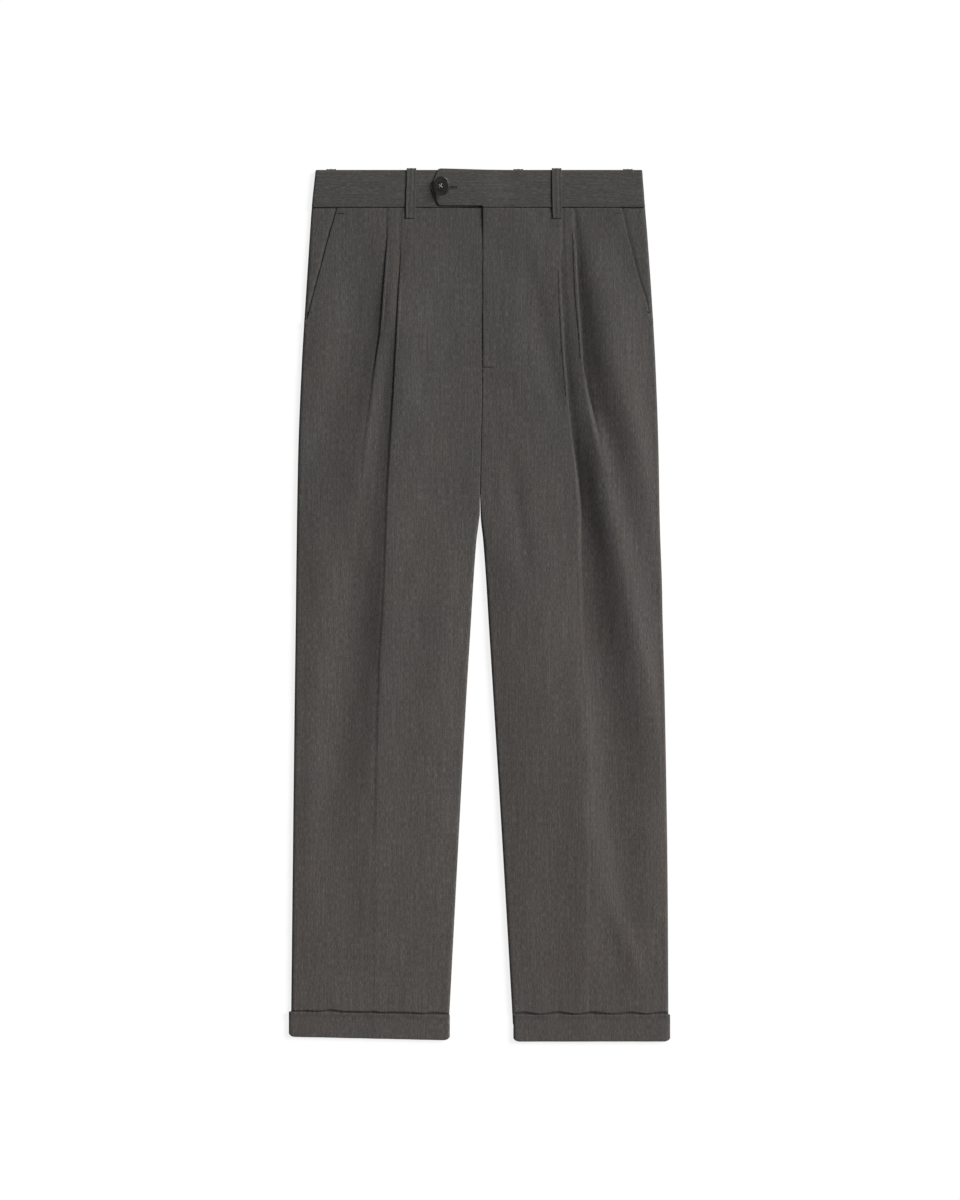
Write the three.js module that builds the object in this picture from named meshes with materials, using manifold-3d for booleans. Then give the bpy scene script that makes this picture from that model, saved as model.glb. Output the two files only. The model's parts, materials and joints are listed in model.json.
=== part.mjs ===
// Pleated dress trousers, lying flat with the front up.
// Millimetres. X points to the wearer's left, Y to the waist, Z up off the surface they lie on.
// The origin is under the middle of their outline, on that surface.
// "out" is a distance from the centre line, towards either side seam.

import * as THREE from 'three';
import { mergeVertices } from 'three/addons/utils/BufferGeometryUtils.js';
import Module from 'manifold-3d';

const wasm = await Module();
wasm.setup();

// Cloth and clearances
const CLOTH = 1.2; // wall of one layer
const DOUBLED = 2.4; // wall of the lined, doubled waistband
const SEAM = 0.3; // clearance between pieces at a seam and between layers
const HALF_SEAM = SEAM / 2 + 0.05; // from a seam's middle to a turned rim

// Lengths along the trousers
const WAIST_TOP = 521.6;
const BAND_WIDTH = 44;
const BAND_BOTTOM = WAIST_TOP - BAND_WIDTH;
const CROTCH = 195;
const FLY_BOTTOM = 285;
const POCKET_BOTTOM = 342;
const POCKET_FACING_BOTTOM = 349;

// Heights off the surface, top side of each layer
const LOOP_LIFT = CLOTH + SEAM; // the waist lies on its back belt loops
const LIFT_START = 380; // the back starts to rise towards the waist here
const HIP_TOP = 6.1; // front between its folds, at the waistband
const LEG_TOP = 7.5; // front between its folds, on the legs
const HEM_TOP = 5.4; // front beside the turn-up
const BAND_BACK_MID = LOOP_LIFT + DOUBLED / 2;
const BAND_FRONT_MID = BAND_BACK_MID + 3;

// Turn-ups; rise is how much higher the end of a leg lies at its side seam than at its inseam
const CUFF = {
  right: { top: -491.6, bottom: -521.9, rise: 4.2, outer: 229, inner: 35.6, crease: 125.6 },
  left: { top: -491, bottom: -523.4, rise: 0, outer: 229, inner: 40.6, crease: 129 },
};
const CUFF_WALL = 1.8;
const CUFF_HEIGHT = 6.2;

// Pleats and pressed creases
const STEP_RUN = 1.1; // width over which a pleat's edge drops
const RIDGE_REACH = 11; // how far a crease lifts the cloth beside it

// Fly, tab, loops and button
const FLY_EDGE = 4;
const FLY_UNDER = 10; // the right front runs this far under the left
const FLY_MOUND = 40; // out to here the left front lies on the zip
const FLY_RISE = 1.4; // of the left front, over the right
const FLY_SINK = 0.4; // of the right front, under the left
const ZIP_OUT = [13, 35];
const UNDERLAP_OUT = [-6, 44];
const TAB_RAMP = [6, 20];
const LOOP_WIDTH = 10.8;
const LOOP_BOTTOM = 465;
const LOOP_TOP_RADIUS = 1;
const BUTTON = {
  x: -46, y: 502, radius: 11.4, thickness: 2.6,
  sunk: 0.8, // the middle lies this much below the rim
  hole: 1, holeSpacing: 2.2, // radius, and distance from the middle along each side of the square
  tilt: 38, lean: 10, // degrees: raised on its thread, and turned
};

const DOWN_THE_LEG = new THREE.Vector3(0, 1, 0);
const ACROSS = new THREE.Vector3(1, 0, 0);

const table = (names, rows) =>
  rows.map((row) => Object.fromEntries(names.split(' ').map((name, i) => [name, row[i]])));

// Edges of each leg at heights down the trousers.
const OUTLINE = {
  right: table('y outer inner', [
    [522, 197, 0], [477.6, 201.4, 0], [438.6, 204.1, 0], [366.6, 208.8, 0], [294.6, 213.2, 0],
    [198.6, 217.3, 0], [107, 219.2, 0.4], [78.6, 219.6, 3.6], [30.6, 220.2, 7.2], [-17.4, 220.7, 10.1],
    [-113.4, 222, 16], [-305.4, 224.2, 26.4], [-522, 226.5, 37.8],
  ]),
  left: table('y outer inner', [
    [522, 195.4, 0], [477.6, 198.8, 0], [438.6, 202, 0], [366.6, 207, 0], [294.6, 211.1, 0],
    [198.6, 214.7, 0], [107, 216.4, 1.4], [78.6, 217.2, 4.3], [30.6, 219, 7.9], [-17.4, 220, 10.8],
    [-113.4, 222.5, 16.8], [-305.4, 225.7, 28.6], [-522, 227, 41.2],
  ]),
};

// Slanted mouths of the side pockets.
const POCKET = {
  right: table('y out', [[478, 170.6], [440, 181.8], [406, 190.6], [371, 200], [342, 207]]),
  left: table('y out', [[478, 170.3], [432.6, 180.6], [390, 191.6], [371, 197.9], [342, 205.4]]),
};

// Each pleat's folded edge: where it lies, how far the cloth steps down outside it, how wide the
// trough is there, and how high the edge is ridged.
const PLEATS = {
  right: {
    inner: table('y out step width ridge', [
      [478, 91.8, 0.9, 4, 0], [440, 93.5, 1.3, 4.5, 0], [373, 97.2, 1.9, 6, 0], [306, 100.3, 2.3, 12, 0],
      [246, 103.5, 2.4, 17, 0.1], [126, 110.3, 2.2, 18, 0.3], [18, 114, 1.9, 25, 0.8],
      [-55, 118.4, 1.5, 27, 1.3], [-130, 121, 0.9, 26, 1.5], [-239, 123.5, 0.3, 22, 1.4],
      [-313, 125.4, 0.1, 18, 1.2], [-522, 125.6, 0.1, 16, 0.9],
    ]),
    outer: table('y out step width ridge', [
      [478, 108.6, 1, 8, 0], [440, 110.8, 1.7, 17, 0], [380, 115.2, 2.2, 19, 0], [306, 121.8, 2.2, 19, 0],
      [240, 130.5, 1.5, 17, 0], [193, 136.8, 0.8, 16, 0], [140, 142, 0.2, 15, 0], [-522, 155, 0, 15, 0],
    ]),
  },
  left: {
    inner: table('y out step width ridge', [
      [478, 97.2, 0.7, 4, 0], [394, 97.2, 1.2, 6, 0], [340, 99.8, 1.9, 12, 0], [295, 102.2, 2.3, 16, 0],
      [211, 109.8, 2.4, 20, 0.1], [150, 115.8, 2.3, 25, 0.2], [110, 118.9, 1.8, 25, 0.5],
      [60, 119.2, 0.6, 24, 1.2], [-55, 123, 0.2, 20, 1.5], [-129, 128.6, 0.3, 18, 1.5],
      [-202, 129.7, 0.3, 18, 1.2], [-522, 129, 0.1, 16, 0.8],
    ]),
    outer: table('y out step width ridge', [
      [478, 110.4, 1, 8, 0], [434, 115.2, 1.6, 12, 0], [378, 117.8, 2.1, 14, 0], [340, 120.4, 2.3, 21, 0],
      [270, 126.4, 2.4, 31, 0], [234, 132.6, 2.1, 32, 0.2], [200, 141, 1.2, 27, 0.5],
      [139, 153, 0.3, 20, 0.8],
      [67, 168.6, 0.1, 16, 0.6], [-10, 180, 0, 14, 0.2], [-522, 184, 0, 14, 0],
    ]),
  },
};

// Soft troughs (negative) and swells away from the pleats, each along a straight line.
const SOFT_FOLDS = {
  right: table('y0 out0 y1 out1 width height', [
    [300, 68, 230, 66, 12, -0.8], [120, 30, -60, 48, 22, 0.8], [-200, 203, -330, 206, 16, 0.8],
    [367, 92, 67, 111, 34, 2.2], [390, 139, 230, 176, 18, -2.2], [20, 152, -220, 178, 25, -2.6],
  ]),
  left: table('y0 out0 y1 out1 width height', [
    [409, 59, 229, 95, 14, -1.1], [175, 38, 31, 59, 14, -0.9], [400, 141, 190, 187, 22, 3.2],
    [170, 145, -100, 199, 18, 3], [200, 112, -180, 162, 26, -2.4], [-258, 140, -430, 184, 18, 1],
  ]),
};

const mix = (a, b, t) => a + (b - a) * t;
const clamp01 = (t) => Math.min(1, Math.max(0, t));
const ease = (a, b, value) => {
  const t = clamp01((value - a) / (b - a));
  return t * t * (3 - 2 * t);
};

// A column of a table at the height y; rows run from the waist down.
function at(rows, column, y) {
  if (y >= rows[0].y) return rows[0][column];
  const below = rows.findIndex((row) => row.y <= y);
  if (below < 0) return rows[rows.length - 1][column];
  const [a, b] = [rows[below - 1], rows[below]];
  return mix(a[column], b[column], (a.y - y) / (a.y - b.y));
}

const evenly = (from, to, count) => Array.from({ length: count + 1 }, (_, i) => mix(from, to, i / count));

// How far, and which way, each point of a row moves to lie on the wall's outer side.
function offsets(row, distance, along, ring) {
  const last = row.length - 1;
  const chord = (c) => row[(c + 1) % row.length].clone().sub(row[c]).projectOnPlane(along).normalize();
  // An open end carries on the turn of its last two chords.
  const carriedOn = (near, next) => near.multiplyScalar(1.5).addScaledVector(next, -0.5).normalize();
  const sideways = (tangent, length) =>
    new THREE.Vector3().crossVectors(tangent, along).normalize().multiplyScalar(length);
  return row.map((_, c) => {
    if (!ring && c === 0) return sideways(carriedOn(chord(0), chord(1)), distance);
    if (!ring && c === last) return sideways(carriedOn(chord(last - 1), chord(last - 2)), distance);
    const before = chord((c + last) % row.length);
    const tangent = before.clone().add(chord(c)).normalize();
    return sideways(tangent, distance / Math.max(0.6, tangent.dot(before)));
  });
}

// A closed wall round a grid of middle points, rows of columns; along is the way the rows follow.
function wall(rows, thickness, along, ring = false) {
  const height = rows.length;
  const width = rows[0].length;
  const normals = rows.map((row) => offsets(row, thickness / 2, along, ring));
  const positions = [];
  for (const side of [1, -1]) {
    for (let r = 0; r < height; r += 1) {
      for (let c = 0; c < width; c += 1) {
        positions.push(...rows[r][c].clone().addScaledVector(normals[r][c], side).toArray());
      }
    }
  }
  const under = height * width;
  const index = [];
  const quad = (a, b, c, d) => index.push(a, b, c, a, c, d);
  const columns = ring ? width : width - 1;
  for (let r = 0; r + 1 < height; r += 1) {
    for (let c = 0; c < columns; c += 1) {
      const next = (c + 1) % width;
      const [a, b, p, q] = [r * width + c, r * width + next, (r + 1) * width + next, (r + 1) * width + c];
      quad(a, q, p, b);
      quad(under + a, under + b, under + p, under + q);
    }
  }
  for (let c = 0; c < columns; c += 1) {
    const next = (c + 1) % width;
    const last = (height - 1) * width;
    quad(c, next, under + next, under + c);
    quad(last + next, last + c, under + last + c, under + last + next);
  }
  for (let r = 0; !ring && r + 1 < height; r += 1) {
    const [a, b] = [r * width, (r + 1) * width];
    quad(b, a, under + a, under + b);
    quad(a + width - 1, b + width - 1, under + b + width - 1, under + a + width - 1);
  }
  return outward(positions, index);
}

// Turns the faces out if the wall was made inside out.
function outward(positions, index) {
  const [a, b, c] = [new THREE.Vector3(), new THREE.Vector3(), new THREE.Vector3()];
  let volume = 0;
  for (let i = 0; i < index.length; i += 3) {
    a.fromArray(positions, index[i] * 3);
    b.fromArray(positions, index[i + 1] * 3);
    c.fromArray(positions, index[i + 2] * 3);
    volume += a.dot(b.cross(c));
  }
  const geometry = new THREE.BufferGeometry();
  geometry.setAttribute('position', new THREE.Float32BufferAttribute(positions, 3));
  geometry.setIndex(volume > 0 ? index : index.map((_, i) => index[i - (i % 3) + [0, 2, 1][i % 3]]));
  return geometry;
}

const clothMaterial = () =>
  new THREE.MeshStandardMaterial({ name: 'suiting', color: 0x4e4c48, roughness: 0.95, metalness: 0 });

function named(name, geometry, material = clothMaterial()) {
  const mesh = new THREE.Mesh(geometry, material);
  mesh.name = name;
  return mesh;
}

// Heights of the layers between waist and hem

const backLift = (y) => LOOP_LIFT * ease(LIFT_START, 468, y);
const frontBase = (y) => mix(HEM_TOP, mix(LEG_TOP, HIP_TOP, ease(300, 468, y)), ease(-490, -340, y));
const facingTop = (y) => frontBase(y) - CLOTH - SEAM;

// Middle of the side seam: the back meets the pocket facing above, and the front below.
function seamHeight(y) {
  return (backLift(y) + mix(frontBase(y), facingTop(y), ease(POCKET_BOTTOM - 8, POCKET_BOTTOM, y))) / 2;
}

function pleatHeight(pleat, y, out) {
  const past = out - at(pleat, 'out', y);
  const step = at(pleat, 'step', y);
  const width = at(pleat, 'width', y);
  const ridge = at(pleat, 'ridge', y) * Math.exp(-((past / RIDGE_REACH) ** 2));
  if (past <= 0) return ridge;
  if (past < STEP_RUN) return ridge - (step * past) / STEP_RUN;
  return ridge - step * (1 - clamp01((past - STEP_RUN) / (width - STEP_RUN))) ** 1.4;
}

function softHeight(fold, y, out) {
  const run = clamp01((fold.y0 - y) / (fold.y0 - fold.y1));
  const past = out - mix(fold.out0, fold.out1, run);
  const beyond = Math.max(0, y - fold.y0, fold.y1 - y);
  return fold.height * Math.exp(-((past / fold.width) ** 2) - (beyond / 40) ** 2);
}

// Top of a front panel, above the surface.
function frontTop(side, y, out) {
  const { inner, outer } = PLEATS[side];
  const folds = pleatHeight(inner, y, out) + pleatHeight(outer, y, out);
  const soft = SOFT_FOLDS[side].reduce((sum, fold) => sum + softHeight(fold, y, out), 0);
  const lowest = backLift(y) + 2 * CLOTH + SEAM;
  const top = frontBase(y) + folds + soft + flyHeight(side, y, out);
  return Math.max(top, lowest);
}

// The left front rides up over the zip and underlap; the right front lies low on the underlap.
function flyHeight(side, y, out) {
  const inFly = ease(FLY_BOTTOM - 25, FLY_BOTTOM - 2, y);
  if (side === 'left') return inFly * FLY_RISE * (1 - ease(FLY_MOUND, FLY_MOUND + 18, out));
  return -inFly * FLY_SINK * (1 - ease(12, 30, out));
}

// How far an edge is turned down to its seam, from 0, flat, to 1, a quarter round.
const outerTurn = (y) => 1 - ease(POCKET_BOTTOM - 8, POCKET_BOTTOM, y);
const innerTurn = (y) => 1 - ease(CROTCH - 30, CROTCH, y);

function frontOuter(side, y) {
  const edge = at(OUTLINE[side], 'outer', y);
  return y > POCKET_BOTTOM ? Math.min(edge, at(POCKET[side], 'out', y)) : edge;
}

function frontInner(side, y) {
  const edge = at(OUTLINE[side], 'inner', y);
  if (y > FLY_BOTTOM) return side === 'left' ? FLY_EDGE : -FLY_UNDER;
  if (y > CROTCH) return mix(side === 'left' ? 0.6 : -0.3, side === 'left' ? 3.1 : -2.8, (y - CROTCH) / 90);
  return Math.max(edge, SEAM);
}

// Middle points of one edge, from the turned rim in to where the panel lies flat.
function edgePoints(edge, inward, top, rim, turn, sign, y) {
  const radius = Math.max(0.01, (top - CLOTH / 2 - rim) * turn);
  return evenly(0, 1, 2).map((t) => {
    const angle = (t * Math.PI) / 2;
    const reach = mix(t * 1.5, CLOTH / 2 + radius * (1 - Math.cos(angle)), turn);
    const out = edge + inward * reach;
    const z = top - CLOTH / 2 - radius * (1 - Math.sin(angle));
    return new THREE.Vector3(sign * out, y, z);
  });
}

// Places across a front panel between its rims, on both flanks of each pleat.
function frontPlaces(side, y, from, to) {
  const { inner, outer } = PLEATS[side];
  const spots = [from + 5];
  const flank = (pleat, next) => {
    const edge = at(pleat, 'out', y);
    const end = Math.min(edge + at(pleat, 'width', y), next - 2);
    spots.push(edge, edge + STEP_RUN, mix(edge + STEP_RUN, end, 0.45), end);
  };
  const first = at(inner, 'out', y);
  spots.push(mix(from + 5, first, 0.35), mix(from + 5, first, 0.7), first - 7);
  flank(inner, at(outer, 'out', y));
  flank(outer, to - 6);
  const last = spots[spots.length - 1];
  spots.push(mix(last, to - 4, 0.5), to - 4);
  return spots;
}

// Lifts the outer end of rows near the hem, so that panels and turn-up share one slope.
function slopedHem(side, rows) {
  const { top, rise, inner, outer } = CUFF[side];
  return rows.map((row) => row.map(({ x, y, z }) => {
    const share = (Math.abs(x) - inner) / (outer - inner);
    return new THREE.Vector3(x, y + rise * share * (1 - ease(top, top + 300, y)), z);
  }));
}

const frontRows = (side) => [
  ...evenly(BAND_BOTTOM - SEAM, 352, 5), ...evenly(POCKET_BOTTOM + 2, FLY_BOTTOM + 1, 3), FLY_BOTTOM - 1, 262,
  ...evenly(236, 200, 1), ...evenly(180, -60, 9), ...evenly(-110, CUFF[side].top + SEAM, 8),
];

function frontRow(side, y) {
  const sign = side === 'left' ? 1 : -1;
  const from = frontInner(side, y);
  const to = frontOuter(side, y);
  const rim = seamHeight(y) + HALF_SEAM;
  const inner = edgePoints(from, 1, frontTop(side, y, from + 2), rim, innerTurn(y), sign, y);
  const outer = edgePoints(to, -1, frontTop(side, y, to - 2), rim, outerTurn(y), sign, y);
  const middle = frontPlaces(side, y, from, to)
    .map((out) => new THREE.Vector3(sign * out, y, frontTop(side, y, out) - CLOTH / 2));
  return [...inner, ...middle, ...outer.reverse()];
}

function front(side) {
  const rows = frontRows(side).map((y) => frontRow(side, y));
  return named(`front_${side}`, wall(slopedHem(side, rows), CLOTH, DOWN_THE_LEG));
}

const backRows = (side) => [
  ...evenly(BAND_BOTTOM - SEAM, LIFT_START, 3), POCKET_BOTTOM, POCKET_BOTTOM - 8, 262,
  CROTCH, CROTCH - 30, 130, 107, 78.6, 30.6, -17.4, -113.4, -209.4, -305.4, -420, CUFF[side].top + SEAM,
];

function backRow(side, y) {
  const sign = side === 'left' ? 1 : -1;
  const from = Math.max(at(OUTLINE[side], 'inner', y), SEAM);
  const to = at(OUTLINE[side], 'outer', y);
  const lift = backLift(y);
  const rim = seamHeight(y) - HALF_SEAM;
  // The rims are the front's, turned over: the panel's top side mirrored through its own middle.
  const turnedUp = (edge, inward, turn) =>
    edgePoints(edge, inward, -lift, -rim, turn, sign, y).map((p) => p.set(p.x, p.y, -p.z));
  const inner = turnedUp(from, 1, innerTurn(y));
  const outer = turnedUp(to, -1, 1);
  const middle = evenly(from + 6, to - 6, 3).map((out) => new THREE.Vector3(sign * out, y, lift + CLOTH / 2));
  return [...inner, ...middle, ...outer.reverse()];
}

function back(side) {
  const rows = backRows(side).map((y) => backRow(side, y));
  return named(`back_${side}`, wall(slopedHem(side, rows), CLOTH, DOWN_THE_LEG));
}

// The side panel outside a pocket's mouth runs a little way under the front.
function pocketFacing(side) {
  const sign = side === 'left' ? 1 : -1;
  const tuck = 9;
  const rows = evenly(BAND_BOTTOM - SEAM, POCKET_FACING_BOTTOM, 6).map((y) => {
    const to = at(OUTLINE[side], 'outer', y);
    const from = Math.min(at(POCKET[side], 'out', y) - tuck, to - tuck);
    const top = facingTop(y);
    const outer = edgePoints(to, -1, top, seamHeight(y) + HALF_SEAM, 1, sign, y);
    const middle = evenly(from, to - 3.5, 2).map((out) => new THREE.Vector3(sign * out, y, top - CLOTH / 2));
    return [...middle, ...outer.reverse()];
  });
  return named(`pocket_facing_${side}`, wall(rows, CLOTH, DOWN_THE_LEG));
}

function flatStrip(name, [from, to], [top, bottom], level, thickness) {
  const rows = evenly(top, bottom, 8).map((y) =>
    [from, mix(from, to, 0.5), to].map((x) => new THREE.Vector3(x, y, level(y) - thickness / 2)));
  return named(name, wall(rows, thickness, DOWN_THE_LEG));
}

const underlapTop = (y) => backLift(y) + 2 * CLOTH + SEAM;
const ZIP_THICKNESS = 1;

function flyUnderlap() {
  return flatStrip('fly_underlap', UNDERLAP_OUT, [BAND_BOTTOM - SEAM, FLY_BOTTOM - 8], underlapTop, CLOTH);
}

function flyZip() {
  const level = (y) => underlapTop(y) + SEAM + ZIP_THICKNESS;
  return flatStrip('fly_zip', ZIP_OUT, [BAND_BOTTOM - 3, FLY_BOTTOM + 2], level, ZIP_THICKNESS);
}

// Waistband: round each side from the centre back to the centre front, the left half on to a tab.

const TAB = table('x low high lift', [
  [-58, 499.6, 504.4, 1], [-54.5, 491.5, 511.5, 1], [-48.4, 479.8, 523.4, 1], [-20, 479.6, 522.4, 1],
  [TAB_RAMP[0], 479.2, 521.8, 1], [12, 478.4, WAIST_TOP, 0.62], [TAB_RAMP[1], BAND_BOTTOM, WAIST_TOP, 0],
]);

function bandColumns(side) {
  const tabLift = DOUBLED + SEAM;
  const start = side === 'left'
    ? TAB.map(({ x, low, high, lift }) => ({ out: x, low, high, z: BAND_FRONT_MID + tabLift * lift }))
    : [{ out: 0, low: BAND_BOTTOM, high: WAIST_TOP, z: BAND_FRONT_MID }];
  const flat = (out, z) => ({ out, low: BAND_BOTTOM, high: WAIST_TOP, z });
  const across = evenly(60, 192, 3);
  const radius = (BAND_FRONT_MID - BAND_BACK_MID) / 2;
  const middle = BAND_BACK_MID + radius;
  const round = evenly(90, -90, 6).map((angle) => {
    const turn = THREE.MathUtils.degToRad(angle);
    return { ...flat(0, middle + radius * Math.sin(turn)), round: radius * (1 - Math.cos(turn)) };
  });
  return [
    ...start, ...across.map((out) => flat(out, BAND_FRONT_MID)), ...round,
    ...across.reverse().map((out) => flat(out, BAND_BACK_MID)), flat(SEAM / 2, BAND_BACK_MID),
  ];
}

function waistband(side) {
  const sign = side === 'left' ? 1 : -1;
  const columns = bandColumns(side);
  const rows = evenly(1, 0, 2).map((share) => columns.map(({ out, low, high, z, round }) => {
    const y = mix(low, high, share);
    const x = round === undefined ? out : at(OUTLINE[side], 'outer', y) - DOUBLED / 2 - round;
    return new THREE.Vector3(sign * x, y, z);
  }));
  return named(`waistband_${side}`, wall(rows, DOUBLED, DOWN_THE_LEG));
}

// A belt loop: a strap on the band, its top end turned down over the band's edge.
function beltLoop(name, x, slant, below) {
  const level = below
    ? () => CLOTH / 2
    : (y) => mix(HIP_TOP, BAND_FRONT_MID + DOUBLED / 2, ease(468, 476.5, y)) + SEAM + CLOTH / 2;
  const end = below ? BAND_BACK_MID : BAND_FRONT_MID;
  const edge = WAIST_TOP + SEAM + CLOTH / 2;
  const flatEnd = edge - LOOP_TOP_RADIUS;
  const away = below ? 1 : -1;
  const path = [
    { y: edge, z: end },
    { y: edge, z: level(flatEnd) + away * LOOP_TOP_RADIUS },
    { y: edge - LOOP_TOP_RADIUS * 0.3, z: level(flatEnd) + away * LOOP_TOP_RADIUS * 0.3 },
    ...[flatEnd, 500, 476.5, 468, LOOP_BOTTOM].map((y) => ({ y, z: level(y) })),
  ];
  const rows = [-0.5, 0.5].map((half) =>
    path.map(({ y, z }) => new THREE.Vector3(x + half * LOOP_WIDTH + slant * (y - 490), y, z)));
  return named(name, wall(rows, CLOTH, ACROSS));
}

const LOOPS = table('name x slant below', [
  ['front_right', -82.2, 0.022, false], ['front_left', 93, -0.02, false],
  ['side_right', -178, 0, true], ['side_left', 178, 0, true],
  ['back_right', -44, 0, true], ['back_left', 46.5, 0, true],
]);

// A turn-up: a flattened tube round the end of the leg, rounded at its lower corners.

function cuff(side) {
  const sign = side === 'left' ? 1 : -1;
  const { top: cuffTop, bottom, outer, inner, crease } = CUFF[side];
  const radius = (CUFF_HEIGHT - CUFF_WALL) / 2;
  const row = (y, inset) => {
    const from = inner + CUFF_WALL / 2 + inset;
    const to = outer - CUFF_WALL / 2 - inset;
    const end = (edge, inward, angles) => angles.map((angle) => {
      const turn = THREE.MathUtils.degToRad(angle);
      const reach = radius * (1 - Math.cos(turn));
      return { out: edge + inward * reach, z: CUFF_HEIGHT / 2 + radius * Math.sin(turn) };
    });
    const top = CUFF_HEIGHT - CUFF_WALL / 2;
    const points = [
      ...end(from, 1, [-90, -45, 0, 45, 90]), { out: crease - 20, z: top }, { out: crease, z: top + 0.6 },
      { out: crease + 20, z: top }, ...end(to, -1, [90, 45, 0, -45, -90]),
    ];
    return points.map(({ out, z }) => new THREE.Vector3(sign * out, y, z));
  };
  const rows = [row(cuffTop, 0), row(bottom + 3, 0), row(bottom + 0.9, 0.8), row(bottom, 2.6)];
  return named(`cuff_${side}`, wall(slopedHem(side, rows), CUFF_WALL, DOWN_THE_LEG, true));
}

// The waist button: a turned disc with a sunk middle and four holes, tipped up on its thread.

function solid(geometry) {
  geometry.deleteAttribute('normal');
  geometry.deleteAttribute('uv');
  const merged = mergeVertices(geometry, 1e-4);
  return new wasm.Manifold(new wasm.Mesh({
    numProp: 3,
    vertProperties: new Float32Array(merged.attributes.position.array),
    triVerts: new Uint32Array(merged.index.array),
  }));
}

function waistButton() {
  const { x, y, radius, thickness, sunk, hole, holeSpacing, tilt, lean } = BUTTON;
  const half = thickness / 2;
  const profile = [
    [0, -half], [radius - 1.6, -half], [radius - 0.3, -half + 0.9], [radius, -half + 1.5],
    [radius - 0.4, half - 0.4], [radius - 1.2, half], [radius - 2.2, half - 0.2],
    [radius - 3.4, half - sunk], [0, half - sunk - 0.1],
  ].map(([r, z]) => new THREE.Vector2(r, z));
  const lathe = new THREE.LatheGeometry(profile, 36);
  let body = solid(lathe);
  for (const [i, j] of [[1, 1], [1, -1], [-1, 1], [-1, -1]]) {
    const drill = new THREE.CylinderGeometry(hole, hole, thickness * 2, 10);
    drill.translate(i * holeSpacing, 0, j * holeSpacing);
    body = body.subtract(solid(drill));
  }
  const { vertProperties, triVerts } = body.getMesh();
  const geometry = new THREE.BufferGeometry();
  geometry.setAttribute('position', new THREE.BufferAttribute(new Float32Array(vertProperties), 3));
  geometry.setIndex(new THREE.BufferAttribute(new Uint32Array(triVerts), 1));
  geometry.rotateX(Math.PI / 2);
  geometry.rotateY(THREE.MathUtils.degToRad(-tilt));
  geometry.rotateZ(THREE.MathUtils.degToRad(lean));
  geometry.computeBoundingBox();
  const tabTop = BAND_FRONT_MID + DOUBLED + SEAM + DOUBLED / 2;
  const button = named('waist_button', geometry, new THREE.MeshStandardMaterial({
    name: 'button', color: 0x2a2622, roughness: 0.35, metalness: 0,
  }));
  button.position.set(x, y, tabTop + SEAM - geometry.boundingBox.min.z);
  return button;
}

const trousers = new THREE.Group();
for (const side of ['right', 'left']) {
  trousers.add(front(side), back(side), pocketFacing(side), waistband(side), cuff(side));
}
trousers.add(flyUnderlap(), flyZip(), waistButton());
for (const { name, x, slant, below } of LOOPS) {
  trousers.add(beltLoop(`belt_loop_${name}`, x, slant, below));
}

export default trousers;
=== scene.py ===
import json
import math

import bpy
import numpy as np
from bpy.props import FloatProperty, FloatVectorProperty, PointerProperty
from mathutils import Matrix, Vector, noise

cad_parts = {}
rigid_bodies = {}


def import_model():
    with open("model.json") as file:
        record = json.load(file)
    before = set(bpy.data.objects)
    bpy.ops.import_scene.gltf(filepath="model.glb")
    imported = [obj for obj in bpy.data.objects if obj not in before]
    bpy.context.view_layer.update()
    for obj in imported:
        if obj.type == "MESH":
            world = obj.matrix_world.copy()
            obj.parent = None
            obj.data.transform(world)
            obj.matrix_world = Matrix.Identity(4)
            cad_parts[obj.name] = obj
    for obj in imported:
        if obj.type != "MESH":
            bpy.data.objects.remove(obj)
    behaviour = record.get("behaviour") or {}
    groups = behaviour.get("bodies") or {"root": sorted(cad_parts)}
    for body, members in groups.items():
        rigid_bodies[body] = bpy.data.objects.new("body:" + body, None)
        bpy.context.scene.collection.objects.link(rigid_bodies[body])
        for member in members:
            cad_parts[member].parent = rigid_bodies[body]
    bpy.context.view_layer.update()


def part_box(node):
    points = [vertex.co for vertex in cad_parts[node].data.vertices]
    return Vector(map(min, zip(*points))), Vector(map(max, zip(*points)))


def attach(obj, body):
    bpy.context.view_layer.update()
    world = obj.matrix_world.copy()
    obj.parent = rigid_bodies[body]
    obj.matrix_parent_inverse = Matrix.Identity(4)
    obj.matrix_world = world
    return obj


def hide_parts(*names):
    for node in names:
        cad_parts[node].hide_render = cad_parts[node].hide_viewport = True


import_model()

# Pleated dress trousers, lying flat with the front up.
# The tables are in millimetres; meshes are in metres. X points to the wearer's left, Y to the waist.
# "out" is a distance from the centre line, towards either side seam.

bl_info = {
    "name": "Pleated dress trousers",
    "version": (1, 0, 0),
    "blender": (4, 5, 0),
    "location": "3D View > Sidebar > Trousers",
    "description": "Makes pleated dress trousers, laid flat, on their pattern solids",
    "category": "Add Mesh",
}

MM = 0.001
SIDES = {"right": -1, "left": 1}
GRAIN = "Grain"  # the map that says where the yarns run: across, along


def node_box(node):
    """Lowest and highest corner of a pattern solid, in millimetres."""
    low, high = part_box(node)
    return low / MM, high / MM


# ---------------------------------------------------------------- sizes

BAND_LOW, BAND_HIGH = node_box("waistband_right")
WAIST_TOP = BAND_HIGH.y + 1.2  # the cloth rolls over its edge
BAND_BOTTOM = BAND_LOW.y
UNDERLAP_LOW, UNDERLAP_HIGH = node_box("fly_underlap")
ZIP_LOW, ZIP_HIGH = node_box("fly_zip")
BUTTON_LOW, BUTTON_HIGH = node_box("waist_button")

FLY_BOTTOM = 285
POCKET_BOTTOM = 342
POCKET_FACING_BOTTOM = 337
FACING_TUCK = 9  # how far a pocket facing runs on under the front
HEM_TUCK = 12  # how far a leg runs on inside its turn-up
BAND_TUCK = 2.6  # how far a panel runs on under the waistband

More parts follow.
